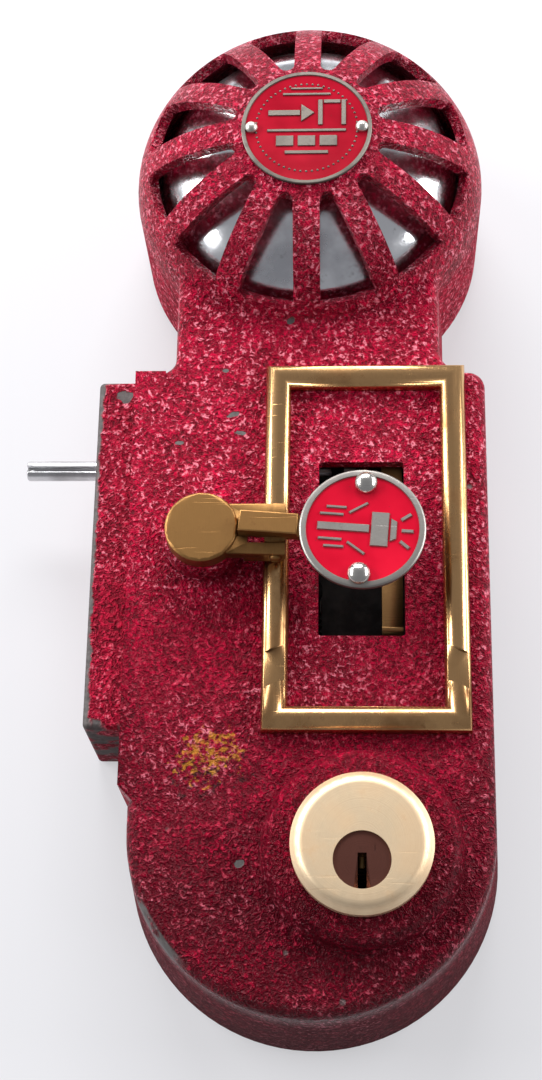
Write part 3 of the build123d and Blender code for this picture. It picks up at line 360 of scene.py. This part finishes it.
def block_wear(f):
    """Bare metal along the side block's outer edges, at its top corner and on its lower end."""
    ragged = (f.noise(4.0, 4.0, 0.65) - 0.5) * 3.2
    height = f.y * -1.0
    outer = (f.x * -1.0 - 51.0 + ragged).rise(0.0, 0.7) * (height - 26.6 + ragged).rise(0.0, 1.2)
    lower = (f.z * -1.0 - 39.6 + ragged * 1.6).rise(0.0, 0.7)
    upper = (f.z - 46.9 + ragged).rise(0.0, 1.0) * (f.x * -1.0 - 46.0).rise(0.0, 3.0)
    return outer.most(lower * f.noise(6.0, 3.0).rise(0.40, 0.56)).most(upper)


def cover_wear(f):
    """Bare metal on the cover's foot: two long scrapes on the lower left edge and rubbed rims."""
    ragged = (f.noise(3.0, 4.0, 0.65) - 0.5) * 2.4
    edge = (f.radius(1.8, -68.0) - 40.4 + ragged * 0.4).rise(0.0, 0.5)
    height = f.y * -1.0
    rubbed = edge * (height - 33.6 + ragged * 0.6).rise(0.0, 0.5) * (height - 37.2).rise(0.8, 0.0)
    patches = f.noise(9.0, 3.0, at=f.moved(4.0, 9.0, 2.0))
    stretch = (patches + f.z.rise(-78.0, -92.0) * 0.16).rise(0.52, 0.60)
    left = f.z.rise(-62.0, -65.0) * f.z.rise(-101.0, -96.0) * f.x.rise(-24.0, -30.0)
    return rubbed * stretch * left


# ---------------------------------------------------------------- mesh helpers


def put(name, bm, body, material, replaces=()):
    """Turns a bmesh in millimetres into a finished piece that rides on a body."""
    bmesh.ops.scale(bm, vec=(MM, MM, MM), verts=bm.verts)
    mesh = bpy.data.meshes.new(name)
    bm.to_mesh(mesh)
    bm.free()
    piece = bpy.data.objects.new(name, mesh)
    bpy.context.scene.collection.objects.link(piece)
    mesh.materials.append(material)
    soften(mesh, 34.0)
    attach(piece, body)
    if replaces:
        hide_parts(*replaces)
    return piece


def soften(mesh, degrees):
    """Smooth shading, kept sharp where faces meet at more than this angle."""
    mesh.shade_smooth()
    mesh.set_sharp_from_angle(angle=math.radians(degrees))


def lathe(bm, profile, x, z, steps=160):
    """A closed turned shape about an axis square to the door, from (radius, height) corners."""
    rings = []
    for radius, height in profile:
        if radius == 0:
            rings.append([bm.verts.new((x, -height, z))])
            continue
        rings.append([
            bm.verts.new((x + radius * math.cos(a), -height, z + radius * math.sin(a)))
            for a in (2 * math.pi * i / steps for i in range(steps))
        ])
    for low, high in zip(rings, rings[1:]):
        for i in range(steps):
            j = (i + 1) % steps
            corners = [low[i % len(low)], low[j % len(low)], high[j % len(high)], high[i % len(high)]]
            bm.faces.new(list(dict.fromkeys(corners)))


def relief(bm, outlines, place, low, high, slope=0.18):
    """Raised flat shapes with sloping sides; place turns (right, up) into (x, z)."""
    for outline in outlines:
        count = len(outline)
        centre = (sum(p[0] for p in outline) / count, sum(p[1] for p in outline) / count)
        area = sum(a[0] * b[1] - b[0] * a[1] for a, b in zip(outline, outline[1:] + outline[:1]))
        points = outline if area > 0 else outline[::-1]
        inner = []
        for before, point, after in zip(points[-1:] + points[:-1], points, points[1:] + points[:1]):
            e0 = Vector((point[0] - before[0], point[1] - before[1])).normalized()
            e1 = Vector((after[0] - point[0], after[1] - point[1])).normalized()
            n0, n1 = Vector((-e0.y, e0.x)), Vector((-e1.y, e1.x))
            mid = (n0 + n1) / max(1.0 + n0.dot(n1), 0.35)
            inner.append((point[0] + mid.x * slope, point[1] + mid.y * slope))
        rings = []
        for ring, height in ((points, low), (inner, high)):
            corners = []
            for point in ring:
                x, z = place(point)
                corners.append(bm.verts.new((x, -height, z)))
            rings.append(corners)
        foot, crest = rings
        bm.faces.new(crest)
        bm.faces.new(foot[::-1])
        for i in range(count):
            j = (i + 1) % count
            bm.faces.new([foot[i], foot[j], crest[j], crest[i]])


def box_outline(x0, x1, z0, z1):
    return [(x0, z0), (x1, z0), (x1, z1), (x0, z1)]


def bar_outline(x0, z0, x1, z1, width):
    """A straight stroke between two points, with square ends."""
    along = Vector((x1 - x0, z1 - z0)).normalized()
    side = Vector((-along.y, along.x)) * width / 2
    return [
        (x0 - side.x, z0 - side.y), (x1 - side.x, z1 - side.y),
        (x1 + side.x, z1 + side.y), (x0 + side.x, z0 + side.y),
    ]


def on_disc(point):
    """The (x, z) of a point (along the arm, across it) measured from the striker disc's middle."""
    along, across = point
    return DISC_X + along * ARM_COS + across * ARM_SIN, DISC_Z - along * ARM_SIN + across * ARM_COS


def outward(bm):
    bmesh.ops.recalc_face_normals(bm, faces=bm.faces)


def welded_copy(node, material, angle=32.0, name=None):
    """A CAD node's shape, merged and shaded smooth, standing for the node."""
    source = frame["nodes"][node]
    bm = bmesh.new()
    bm.from_mesh(source.data)
    bmesh.ops.remove_doubles(bm, verts=bm.verts, dist=1e-6)
    bmesh.ops.dissolve_degenerate(bm, edges=bm.edges, dist=1e-7)
    mesh = bpy.data.meshes.new(f"{node}_merged")
    bm.to_mesh(mesh)
    bm.free()
    mesh.materials.append(material)
    soften(mesh, angle)
    draft = bpy.data.objects.new(f"{node}_draft", mesh)
    bpy.context.scene.collection.objects.link(draft)
    weigh = draft.modifiers.new("flat faces lead", "WEIGHTED_NORMAL")
    weigh.weight = 100
    weigh.keep_sharp = True
    made = bpy.data.meshes.new_from_object(draft.evaluated_get(bpy.context.evaluated_depsgraph_get()))
    made.name = name or f"{node}_shell"
    bpy.data.objects.remove(draft)
    piece = bpy.data.objects.new(made.name, made)
    bpy.context.scene.collection.objects.link(piece)
    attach(piece, source["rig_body"])
    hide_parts(node)
    return piece


def paint(node, material):
    """Gives a CAD node a finish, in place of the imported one."""
    for slot in frame["nodes"][node].material_slots:
        slot.material = material


# ---------------------------------------------------------------- geometry nodes


class Tree:
    """A geometry node tree with named inputs, built by code."""

    def __init__(self, name):
        self.group = bpy.data.node_groups.new(name, "GeometryNodeTree")
        self.group.interface.new_socket("Geometry", in_out="INPUT", socket_type="NodeSocketGeometry")
        self.group.interface.new_socket("Geometry", in_out="OUTPUT", socket_type="NodeSocketGeometry")
        self.start = self.group.nodes.new("NodeGroupInput")
        self.end = self.group.nodes.new("NodeGroupOutput")

    def size(self, name, default):
        socket = self.group.interface.new_socket(name, in_out="INPUT", socket_type="NodeSocketFloat")
        socket.default_value = default
        return self.start.outputs[name]

    def node(self, kind, settings=None, inputs=None):
        node = self.group.nodes.new(kind)
        for key, value in (settings or {}).items():
            setattr(node, key, value)
        for key, value in (inputs or {}).items():
            if isinstance(value, bpy.types.NodeSocket):
                self.group.links.new(value, node.inputs[key])
            else:
                node.inputs[key].default_value = value
        return node

    def close(self, geometry, material):
        whole = self.node("GeometryNodeRealizeInstances", inputs={0: geometry})
        dressed = self.node("GeometryNodeSetMaterial", inputs={0: whole.outputs[0], "Material": material})
        self.group.links.new(dressed.outputs[0], self.end.inputs[0])


def grow(name, tree, seeds, body, sizes, replaces=()):
    """Runs a tree on a few seed points and keeps the result as a plain mesh on a body."""
    mesh = bpy.data.meshes.new(f"{name}_seed")
    mesh.from_pydata([Vector(p) * MM for p in seeds], [], [])
    seed = bpy.data.objects.new(f"{name}_seed", mesh)
    bpy.context.scene.collection.objects.link(seed)
    modifier = seed.modifiers.new("shape", "NODES")
    modifier.node_group = tree.group
    for item in tree.group.interface.items_tree:
        if item.in_out == "INPUT" and item.name in sizes:
            modifier[item.identifier] = sizes[item.name]
    bpy.context.view_layer.update()
    made = bpy.data.meshes.new_from_object(seed.evaluated_get(bpy.context.evaluated_depsgraph_get()))
    made.name = name
    bpy.data.objects.remove(seed)
    piece = bpy.data.objects.new(name, made)
    bpy.context.scene.collection.objects.link(piece)
    soften(made, 40.0)
    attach(piece, body)
    if replaces:
        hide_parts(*replaces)
    return piece


def dome_head_tree(name, material, turn):
    """A round-headed fastener on each point: a flattened ball, half sunk in the plate."""
    tree = Tree(name)
    radius = tree.size("Head radius", 2.7 * MM)
    height = tree.size("Head height", 1.9 * MM)
    flat = tree.node("ShaderNodeCombineXYZ", inputs={0: radius, 1: radius, 2: height})
    ball = tree.node("GeometryNodeMeshUVSphere", inputs={"Segments": 48, "Rings": 24, "Radius": 1.0})
    sized = tree.node("GeometryNodeTransform", inputs={
        "Geometry": ball.outputs[0], "Scale": flat.outputs[0],
    })
    laid = tree.node("GeometryNodeTransform", inputs={
        "Geometry": sized.outputs[0], "Rotation": (math.radians(90), turn, 0.0),
    })
    heads = tree.node("GeometryNodeInstanceOnPoints", inputs={
        0: tree.start.outputs[0], "Instance": laid.outputs[0],
    })
    tree.close(heads.outputs[0], material)
    return tree


def bead_ring_tree(name, material):
    """Small raised beads in rings about each point, for the plain border of a plate."""
    tree = Tree(name)
    radius = tree.size("Ring radius", 13.0 * MM)
    bead = tree.size("Bead radius", 0.32 * MM)
    ring = tree.node("GeometryNodeMeshCircle", inputs={"Vertices": 56, "Radius": radius})
    stood = tree.node("GeometryNodeTransform", inputs={
        "Geometry": ring.outputs[0], "Rotation": (math.radians(90), 0.0, 0.0),
    })
    ball = tree.node("GeometryNodeMeshIcoSphere", inputs={"Radius": bead, "Subdivisions": 2})
    beads = tree.node("GeometryNodeInstanceOnPoints", inputs={
        0: stood.outputs[0], "Instance": ball.outputs[0],
    })
    whole = tree.node("GeometryNodeRealizeInstances", inputs={0: beads.outputs[0]})
    placed = tree.node("GeometryNodeInstanceOnPoints", inputs={
        0: tree.start.outputs[0], "Instance": whole.outputs[0],
    })
    tree.close(placed.outputs[0], material)
    return tree


# ---------------------------------------------------------------- settings


class PlateSettings(bpy.types.PropertyGroup):
    field_depth: bpy.props.FloatProperty(
        name="Enamel depth", description="How far the red field lies below the bare rim",
        default=0.35 * MM, unit="LENGTH",
    )
    bead_radius: bpy.props.FloatProperty(
        name="Bead radius", description="Radius of one bead in the nameplate's border",
        default=0.30 * MM, unit="LENGTH",
    )


class ScrewSettings(bpy.types.PropertyGroup):
    head_radius: bpy.props.FloatProperty(
        name="Head radius", description="Radius of the striker disc's screw heads",
        default=2.7 * MM, unit="LENGTH",
    )
    head_height: bpy.props.FloatProperty(
        name="Head height", description="How far a screw head stands above the disc",
        default=1.9 * MM, unit="LENGTH",
    )


class StageSettings(bpy.types.PropertyGroup):
    backdrop: bpy.props.FloatVectorProperty(
        name="Backdrop colour", description="Colour of the pale wall and floor",
        default=(0.30, 0.30, 0.315), subtype="COLOR",
    )
    backdrop_glow: bpy.props.FloatProperty(
        name="Backdrop glow", description="Light that the pale wall gives off, as a lit studio sweep does",
        default=0.47,
    )
    key_power: bpy.props.FloatProperty(
        name="Soft light", description="Power in watts that each softbox takes a share of",
        default=10.0, unit="POWER",
    )


# ---------------------------------------------------------------- operators


class LOCK_OT_cover(bpy.types.Operator):
    """The cover casting and the side block in crimson wrinkle enamel"""

    bl_idname = "lock.cover"
    bl_label = "Cover casting"

    def execute(self, context):
        chips = (
            (-18.0, 35.0, 1.9, 0.7, 20.0), (-16.0, 30.0, 1.6, 0.7, -10.0), (9.0, 73.0, 1.2, 1.0, 0.0),
            (-4.0, 60.5, 1.1, 0.7, 35.0), (-31.0, 27.5, 1.1, 0.5, 5.0), (-20.0, 47.0, 0.9, 0.6, 0.0),
            (-14.0, -76.0, 1.3, 0.9, 30.0), (-25.0, 9.5, 0.6, 1.0, 0.0),
        )
        scuffs = ((-22.0, -50.5, 7.0, 5.5, 15.0),)
        enamel = wrinkle_enamel("crimson wrinkle enamel", chips, scuffs, cover_wear, foot_shade=0.78)
        welded_copy("main_cover", enamel, name="cover_casting")
        worn = wrinkle_enamel("worn block enamel", ((-46.0, 44.0, 2.0, 1.6, 0.0),), (), block_wear)
        welded_copy("bolt_guide_block", worn, name="side_block")
        return {"FINISHED"}


class LOCK_OT_frame(bpy.types.Operator):
    """The polished brass frame round the glass recess"""

    bl_idname = "lock.frame"
    bl_label = "Glass frame"

    def execute(self, context):
        brass = metal_finish(
            "polished frame brass", (0.68, 0.40, 0.18), (0.13, 0.050, 0.018), 0.15,
            brush=(3.0, 3.0, 0.12), tarnish=0.60, scratch=0.7,
        )
        welded_copy("glass_frame", brass, angle=38.0, name="brass_frame")
        return {"FINISHED"}


class LOCK_OT_striker(bpy.types.Operator):
    """The brass post, fork, arm and hinge pin of the striker"""

    bl_idname = "lock.striker"
    bl_label = "Striker post and arm"

    def execute(self, context):
        brass = metal_finish(
            "dull striker brass", (0.37, 0.195, 0.068), (0.070, 0.032, 0.013), 0.34,
            brush=(4.5, 1.0, 0.25), tarnish=0.5, scratch=0.9, pits=1.0,
        )
        for node, name in (("striker_post", "post"), ("striker_arm", "arm"), ("hinge_pin", "arm_pin")):
            welded_copy(node, brass, name=f"striker_{name}_brass")
        return {"FINISHED"}


class LOCK_OT_disc(bpy.types.Operator):
    """The enamelled striker disc with its bare rim and a raised hammer sign"""

    bl_idname = "lock.disc"
    bl_label = "Striker disc"

    def execute(self, context):
        field = DISC_TOP - context.scene.lock_plates.field_depth / MM
        bare = metal_finish(
            "bare plate metal", (0.36, 0.34, 0.315), (0.115, 0.10, 0.095), 0.36,
            tarnish=0.5, scratch=0.8, pits=0.8,
        )
        bm = bmesh.new()
        lathe(bm, [
            (0, DISC_BACK), (14.3, DISC_BACK), (14.7, DISC_BACK + 0.35), (14.7, DISC_TOP - 0.3),
            (14.45, DISC_TOP - 0.06), (14.2, DISC_TOP), (13.25, DISC_TOP),
            (13.05, field - 0.1), (0, field - 0.1),
        ], DISC_X, DISC_Z)
        outward(bm)
        put("disc_rim", bm, "striker", bare, ["strike_disc"])
        bm = bmesh.new()
        lathe(bm, [
            (0, field - 0.12), (13.1, field - 0.12), (13.12, field + 0.05), (12.9, field), (0, field),
        ], DISC_X, DISC_Z)
        outward(bm)
        put("disc_enamel", bm, "striker", smooth_enamel(
            "disc enamel", (0.44, 0.0022, 0.0170), (0.55, 0.0045, 0.0240),
        ))

        sign = [
            box_outline(-10.6, 1.6, -1.05, 1.05),
            box_outline(1.9, 6.1, -4.3, 4.3),
            [(6.4, -3.0), (8.0, -2.2), (8.0, 2.2), (6.4, 3.0)],
            bar_outline(9.0, 0.0, 11.9, 0.0, 1.0),
            bar_outline(8.8, 2.6, 11.1, 4.3, 1.0),
            bar_outline(8.8, -2.6, 11.1, -4.3, 1.0),
            bar_outline(-10.2, 3.1, -4.6, 3.1, 0.8),
            bar_outline(-8.8, 4.9, -4.0, 4.9, 0.8),
            bar_outline(-10.2, -3.1, -4.6, -3.1, 0.8),
            bar_outline(-8.8, -4.9, -4.0, -4.9, 0.8),
            bar_outline(-3.4, 3.6, 0.9, 6.4, 0.8),
            bar_outline(-3.4, -3.6, 0.9, -6.4, 0.8),
        ]
        bm = bmesh.new()
        relief(bm, sign, on_disc, field - 0.05, DISC_TOP - 0.02)
        outward(bm)
        put("disc_sign", bm, "striker", bare)
        return {"FINISHED"}


class LOCK_OT_fasteners(bpy.types.Operator):
    """The domed screws on the striker disc and the rivets of the nameplate"""

    bl_idname = "lock.fasteners"
    bl_label = "Screws and rivets"

    def execute(self, context):
        sizes = context.scene.lock_screws
        bright = metal_finish(
            "bright screw metal", (0.66, 0.64, 0.60), (0.22, 0.20, 0.18), 0.14, tarnish=0.35, pits=0.5,
        )
        seats = []
        for across in (DISC_SCREW_OFFSET, -DISC_SCREW_OFFSET):
            x, z = on_disc((0.0, across))
            seats.append((x, -DISC_TOP, z))
        grow(
            "disc_screw_heads", dome_head_tree("domed screw", bright, 0.4), seats, "striker",
            {"Head radius": sizes.head_radius, "Head height": sizes.head_height}, ["disc_screws"],
        )
        soft = metal_finish(
            "rivet metal", (0.66, 0.63, 0.58), (0.25, 0.22, 0.19), 0.26, tarnish=0.4, pits=0.8,
        )
        grow(
            "nameplate_rivet_heads", dome_head_tree("domed rivet", soft, 0.9),
            [(x, 0.05 - NAMEPLATE_TOP, BELL_Z) for x in (-RIVET_OFFSET, RIVET_OFFSET)], "lock",
            {"Head radius": 1.6 * MM, "Head height": 1.2 * MM}, ["nameplate_rivets"],
        )
        return {"FINISHED"}


class LOCK_OT_nameplate(bpy.types.Operator):
    """The round plate on the bell: bare rim, red field, a way-out sign and a border of beads"""

    bl_idname = "lock.nameplate"
    bl_label = "Nameplate"

    def execute(self, context):
        low, top, field = NAMEPLATE_BACK, NAMEPLATE_TOP, NAMEPLATE_FIELD
        bare = metal_finish(
            "nameplate metal", (0.185, 0.165, 0.145), (0.07, 0.06, 0.055), 0.45,
            tarnish=0.55, scratch=0.7, pits=1.0,
        )
        bm = bmesh.new()
        lathe(bm, [
            (0, low), (16.0, low), (16.2, low + 0.2), (16.2, top - 0.15), (16.0, top), (15.3, top),
            (15.1, field - 0.1), (0, field - 0.1),
        ], BELL_X, BELL_Z)
        outward(bm)
        put("nameplate_rim", bm, "lock", bare, ["nameplate"])
        bm = bmesh.new()
        lathe(bm, [
            (0, field - 0.12), (15.18, field - 0.12), (15.2, field + 0.03), (15.0, field), (0, field),
        ], BELL_X, BELL_Z)
        outward(bm)
        put("nameplate_enamel", bm, "lock", smooth_enamel(
            "nameplate enamel", (0.27, 0.0020, 0.0120), (0.38, 0.0035, 0.0180),
        ))
        sign = [
            # A doorway with an arrow that points out through it
            box_outline(2.8, 4.0, 0.6, 8.0),
            box_outline(8.6, 9.8, 0.6, 8.0),
            box_outline(4.2, 8.4, 6.9, 8.0),
            box_outline(-9.6, -1.6, 3.4, 5.0),
            [(-1.4, 1.6), (2.0, 4.2), (-1.4, 6.8)],
            # A long bar, three blocks and three short bars
            box_outline(-9.8, 9.8, -1.3, -0.5),
            *(box_outline(x, x + width, -5.4, -2.4) for x, width in ((-7.6, 4.4), (-2.2, 4.4), (3.2, 4.4))),
            box_outline(-5.4, 5.4, -7.7, -6.7),
            box_outline(-6.0, 6.0, 9.3, 10.0),
            box_outline(-4.0, 4.0, 11.0, 11.6),
        ]
        bm = bmesh.new()
        relief(bm, sign, lambda p: (BELL_X + p[0], BELL_Z + p[1]), field - 0.05, top - 0.02, 0.1)
        outward(bm)
        put("nameplate_sign", bm, "lock", bare)
        grow(
            "nameplate_beads", bead_ring_tree("bead border", bare), [(BELL_X, -field + 0.05, BELL_Z)],
            "lock",
            {"Ring radius": 12.6 * MM, "Bead radius": context.scene.lock_plates.bead_radius},
        )
        return {"FINISHED"}


class LOCK_OT_cylinder(bpy.types.Operator):
    """The lock cylinder's brass head and its bronze key plug"""

    bl_idname = "lock.cylinder"
    bl_label = "Lock cylinder"

    def execute(self, context):
        head = metal_finish(
            "cylinder head brass", (1.0, 0.79, 0.53), (0.50, 0.28, 0.13), 0.38, tarnish=0.30, scratch=0.5,
            ring=CYLINDER, pits=0.6,
        )
        welded_copy("cylinder_body", head, angle=25.0, name="cylinder_head")
        plug = metal_finish(
            "key plug bronze", (0.155, 0.060, 0.045), (0.06, 0.025, 0.02), 0.36, tarnish=0.5, scratch=0.5,
            ring=PLUG, pits=0.8,
        )
        welded_copy("key_plug", plug, name="key_plug_face")
        return {"FINISHED"}


class LOCK_OT_bell(bpy.types.Operator):
    """The bright gong behind the spokes, with its post and nut"""

    bl_idname = "lock.bell"
    bl_label = "Gong"

    def execute(self, context):
        f = Finish("gong plating", Metallic=1.0)
        cloud = f.noise(18.0, 4.0, 0.6)
        dust = f.noise(0.9, 3.0, 0.6)
        rubbed = f.noise(4.0, 3.0, 0.6)
        tone = f.mix(cloud.rise(0.40, 0.72), (0.90, 0.91, 0.93), (0.60, 0.61, 0.64))
        f.colour(f.mix(rubbed.rise(0.60, 0.74) * 0.5, tone, (0.30, 0.29, 0.29)))
        f.set("Roughness", 0.10 + cloud.rise(0.4, 0.7) * 0.16 + dust * 0.06)
        f.bump(dust + rubbed * 0.6, 0.02, 0.5)
        welded_copy("gong", f.material, name="gong_shell")
        steel = metal_finish("bell post steel", (0.50, 0.50, 0.51), (0.16, 0.15, 0.15), 0.35)
        paint("gong_post", steel)
        paint("gong_nut", steel)
        return {"FINISHED"}


class LOCK_OT_bolt(bpy.types.Operator):
    """The turned steel bolt that stands out of the side block"""

    bl_idname = "lock.bolt"
    bl_label = "Bolt"

    def execute(self, context):
        steel = metal_finish(
            "turned bolt steel", (0.62, 0.62, 0.63), (0.17, 0.16, 0.17), 0.22, brush=(0.10, 5.0, 5.0),
            tarnish=0.45, scratch=0.6,
        )
        welded_copy("bolt_rod", steel, name="bolt_bar")
        return {"FINISHED"}


class LOCK_OT_works(bpy.types.Operator):
    """Everything behind the cover: plates, springs, wheels, levers, pins and fixings"""

    bl_idname = "lock.works"
    bl_label = "Inner works"

    def execute(self, context):
        rough = metal_finish(
            "rough lever brass", (0.44, 0.25, 0.10), (0.13, 0.065, 0.025), 0.38, brush=(0.6, 1.0, 3.0),
            tarnish=0.6, scratch=0.9, pits=2.0,
        )
        welded_copy("trip_lever", rough, name="trip_lever_bar")
        finishes = {
            "dark_brass": dark_cast("inner brass", (0.20, 0.125, 0.05), (0.42, 0.29, 0.12), 0.34),
            "dark_steel": dark_cast("blackened steel", (0.030, 0.029, 0.030), (0.085, 0.080, 0.078), 0.42),
            "spring_steel": dark_cast("blued spring wire", (0.07, 0.075, 0.09), (0.17, 0.165, 0.16), 0.30),
            "zinc": dark_cast("zinc plate", (0.075, 0.072, 0.072), (0.17, 0.165, 0.16), 0.42),
            "steel": dark_cast("turned steel", (0.12, 0.12, 0.125), (0.26, 0.26, 0.27), 0.34),
        }
        for entry in frame["record"]["subparts"]:
            node, slot = entry["node"], entry["material_slot"]
            dressed = frame["nodes"][node].hide_render or node in ("gong_post", "gong_nut")
            if slot in finishes and not dressed:
                paint(node, finishes[slot])
        return {"FINISHED"}


class LOCK_OT_stage(bpy.types.Operator):
    """A pale wall behind the lock, soft lights and the camera"""

    bl_idname = "lock.stage"
    bl_label = "Stage"

    def execute(self, context):
        stage = context.scene.lock_stage
        context.scene.view_settings.view_transform = "Standard"
        self.wall(stage)
        self.lights(stage)
        self.camera(context)
        return {"FINISHED"}

    def wall(self, stage):
        pale = Finish("pale backdrop", Roughness=0.55)
        pale.set("Base Color", (*stage.backdrop, 1.0))
        pale.set("Emission Color", (0.98, 0.98, 1.0, 1.0))
        pale.set("Emission Strength", stage.backdrop_glow)
        glass = pale.node("ShaderNodeBsdfTransparent")
        side = pale.node("ShaderNodeNewGeometry").outputs["Backfacing"]
        both = pale.node("ShaderNodeMixShader", inputs={
            0: side, 1: pale.shader.outputs[0], 2: glass.outputs[0],
        })
        output = pale.tree.nodes["Material Output"]
        pale.tree.links.new(both.outputs[0], output.inputs["Surface"])
        bm = bmesh.new()
        outline = box_outline(-2500, 2500, -1600, 2500)
        bm.faces.new([bm.verts.new((x, 0.6, z)) for x, z in outline])
        bmesh.ops.scale(bm, vec=(MM, MM, MM), verts=bm.verts)
        mesh = bpy.data.meshes.new("backdrop")
        bm.to_mesh(mesh)
        bm.free()
        mesh.materials.append(pale.material)
        wall = bpy.data.objects.new("backdrop", mesh)
        bpy.context.scene.collection.objects.link(wall)

    def lights(self, stage):
        middle = Vector((0.0, -0.03, 0.01))
        world = bpy.data.worlds.new("studio")
        world.use_nodes = True
        world.node_tree.nodes["Background"].inputs["Color"].default_value = (0.93, 0.94, 1.0, 1.0)
        world.node_tree.nodes["Background"].inputs["Strength"].default_value = 0.30
        bpy.context.scene.world = world
        for name, place, size, power in (
            ("softbox left", (-0.85, -0.52, 0.30), (0.26, 0.90), stage.key_power * 1.15),
            ("softbox right", (0.85, -0.42, 0.30), (0.26, 0.90), stage.key_power * 0.9),
            ("softbox top", (-0.08, -0.50, 0.84), (0.70, 0.32), stage.key_power * 1.1),
        ):
            light = bpy.data.lights.new(name, "AREA")
            light.shape = "RECTANGLE"
            light.size, light.size_y = size
            light.energy = power
            lamp = bpy.data.objects.new(name, light)
            lamp.location = place
            lamp.visible_camera = False
            lamp.rotation_euler = (middle - Vector(place)).to_track_quat("-Z", "Y").to_euler()
            bpy.context.scene.collection.objects.link(lamp)

    def camera(self, context):
        view = bpy.data.cameras.new("camera")
        view.lens = 64.59
        view.sensor_width = 36.0
        view.clip_start = 0.01
        camera = bpy.data.objects.new("camera", view)
        camera.location = (0.013274, -0.468576, -0.166804)
        camera.rotation_euler = [math.radians(a) for a in (111.379, -0.872, 2.513)]
        context.scene.collection.objects.link(camera)
        context.scene.camera = camera


class LOCK_PT_panel(bpy.types.Panel):
    """Lists the lock's pieces and sizes in the sidebar"""

    bl_idname = "LOCK_PT_panel"
    bl_label = "Exit lock"
    bl_space_type = "VIEW_3D"
    bl_region_type = "UI"
    bl_category = "Exit lock"

    def draw(self, context):
        layout = self.layout
        for group in (context.scene.lock_plates, context.scene.lock_screws, context.scene.lock_stage):
            box = layout.box()
            for name in group.__annotations__:
                box.prop(group, name)
        for operator in OPERATORS:
            layout.operator(operator.bl_idname)


OPERATORS = (
    LOCK_OT_cover, LOCK_OT_frame, LOCK_OT_striker, LOCK_OT_disc, LOCK_OT_fasteners, LOCK_OT_nameplate,
    LOCK_OT_cylinder, LOCK_OT_bell, LOCK_OT_bolt, LOCK_OT_works, LOCK_OT_stage,
)
SETTINGS = (PlateSettings, ScrewSettings, StageSettings)


def register():
    for entry in (*SETTINGS, *OPERATORS, LOCK_PT_panel):
        bpy.utils.register_class(entry)
    bpy.types.Scene.lock_plates = bpy.props.PointerProperty(type=PlateSettings)
    bpy.types.Scene.lock_screws = bpy.props.PointerProperty(type=ScrewSettings)
    bpy.types.Scene.lock_stage = bpy.props.PointerProperty(type=StageSettings)


def unregister():
    del bpy.types.Scene.lock_stage
    del bpy.types.Scene.lock_screws
    del bpy.types.Scene.lock_plates
    for entry in reversed((*SETTINGS, *OPERATORS, LOCK_PT_panel)):
        bpy.utils.unregister_class(entry)


def main():
    register()
    for operator in OPERATORS:
        getattr(bpy.ops.lock, operator.bl_idname.split(".")[1])()


if __name__ == "__main__":
    main()
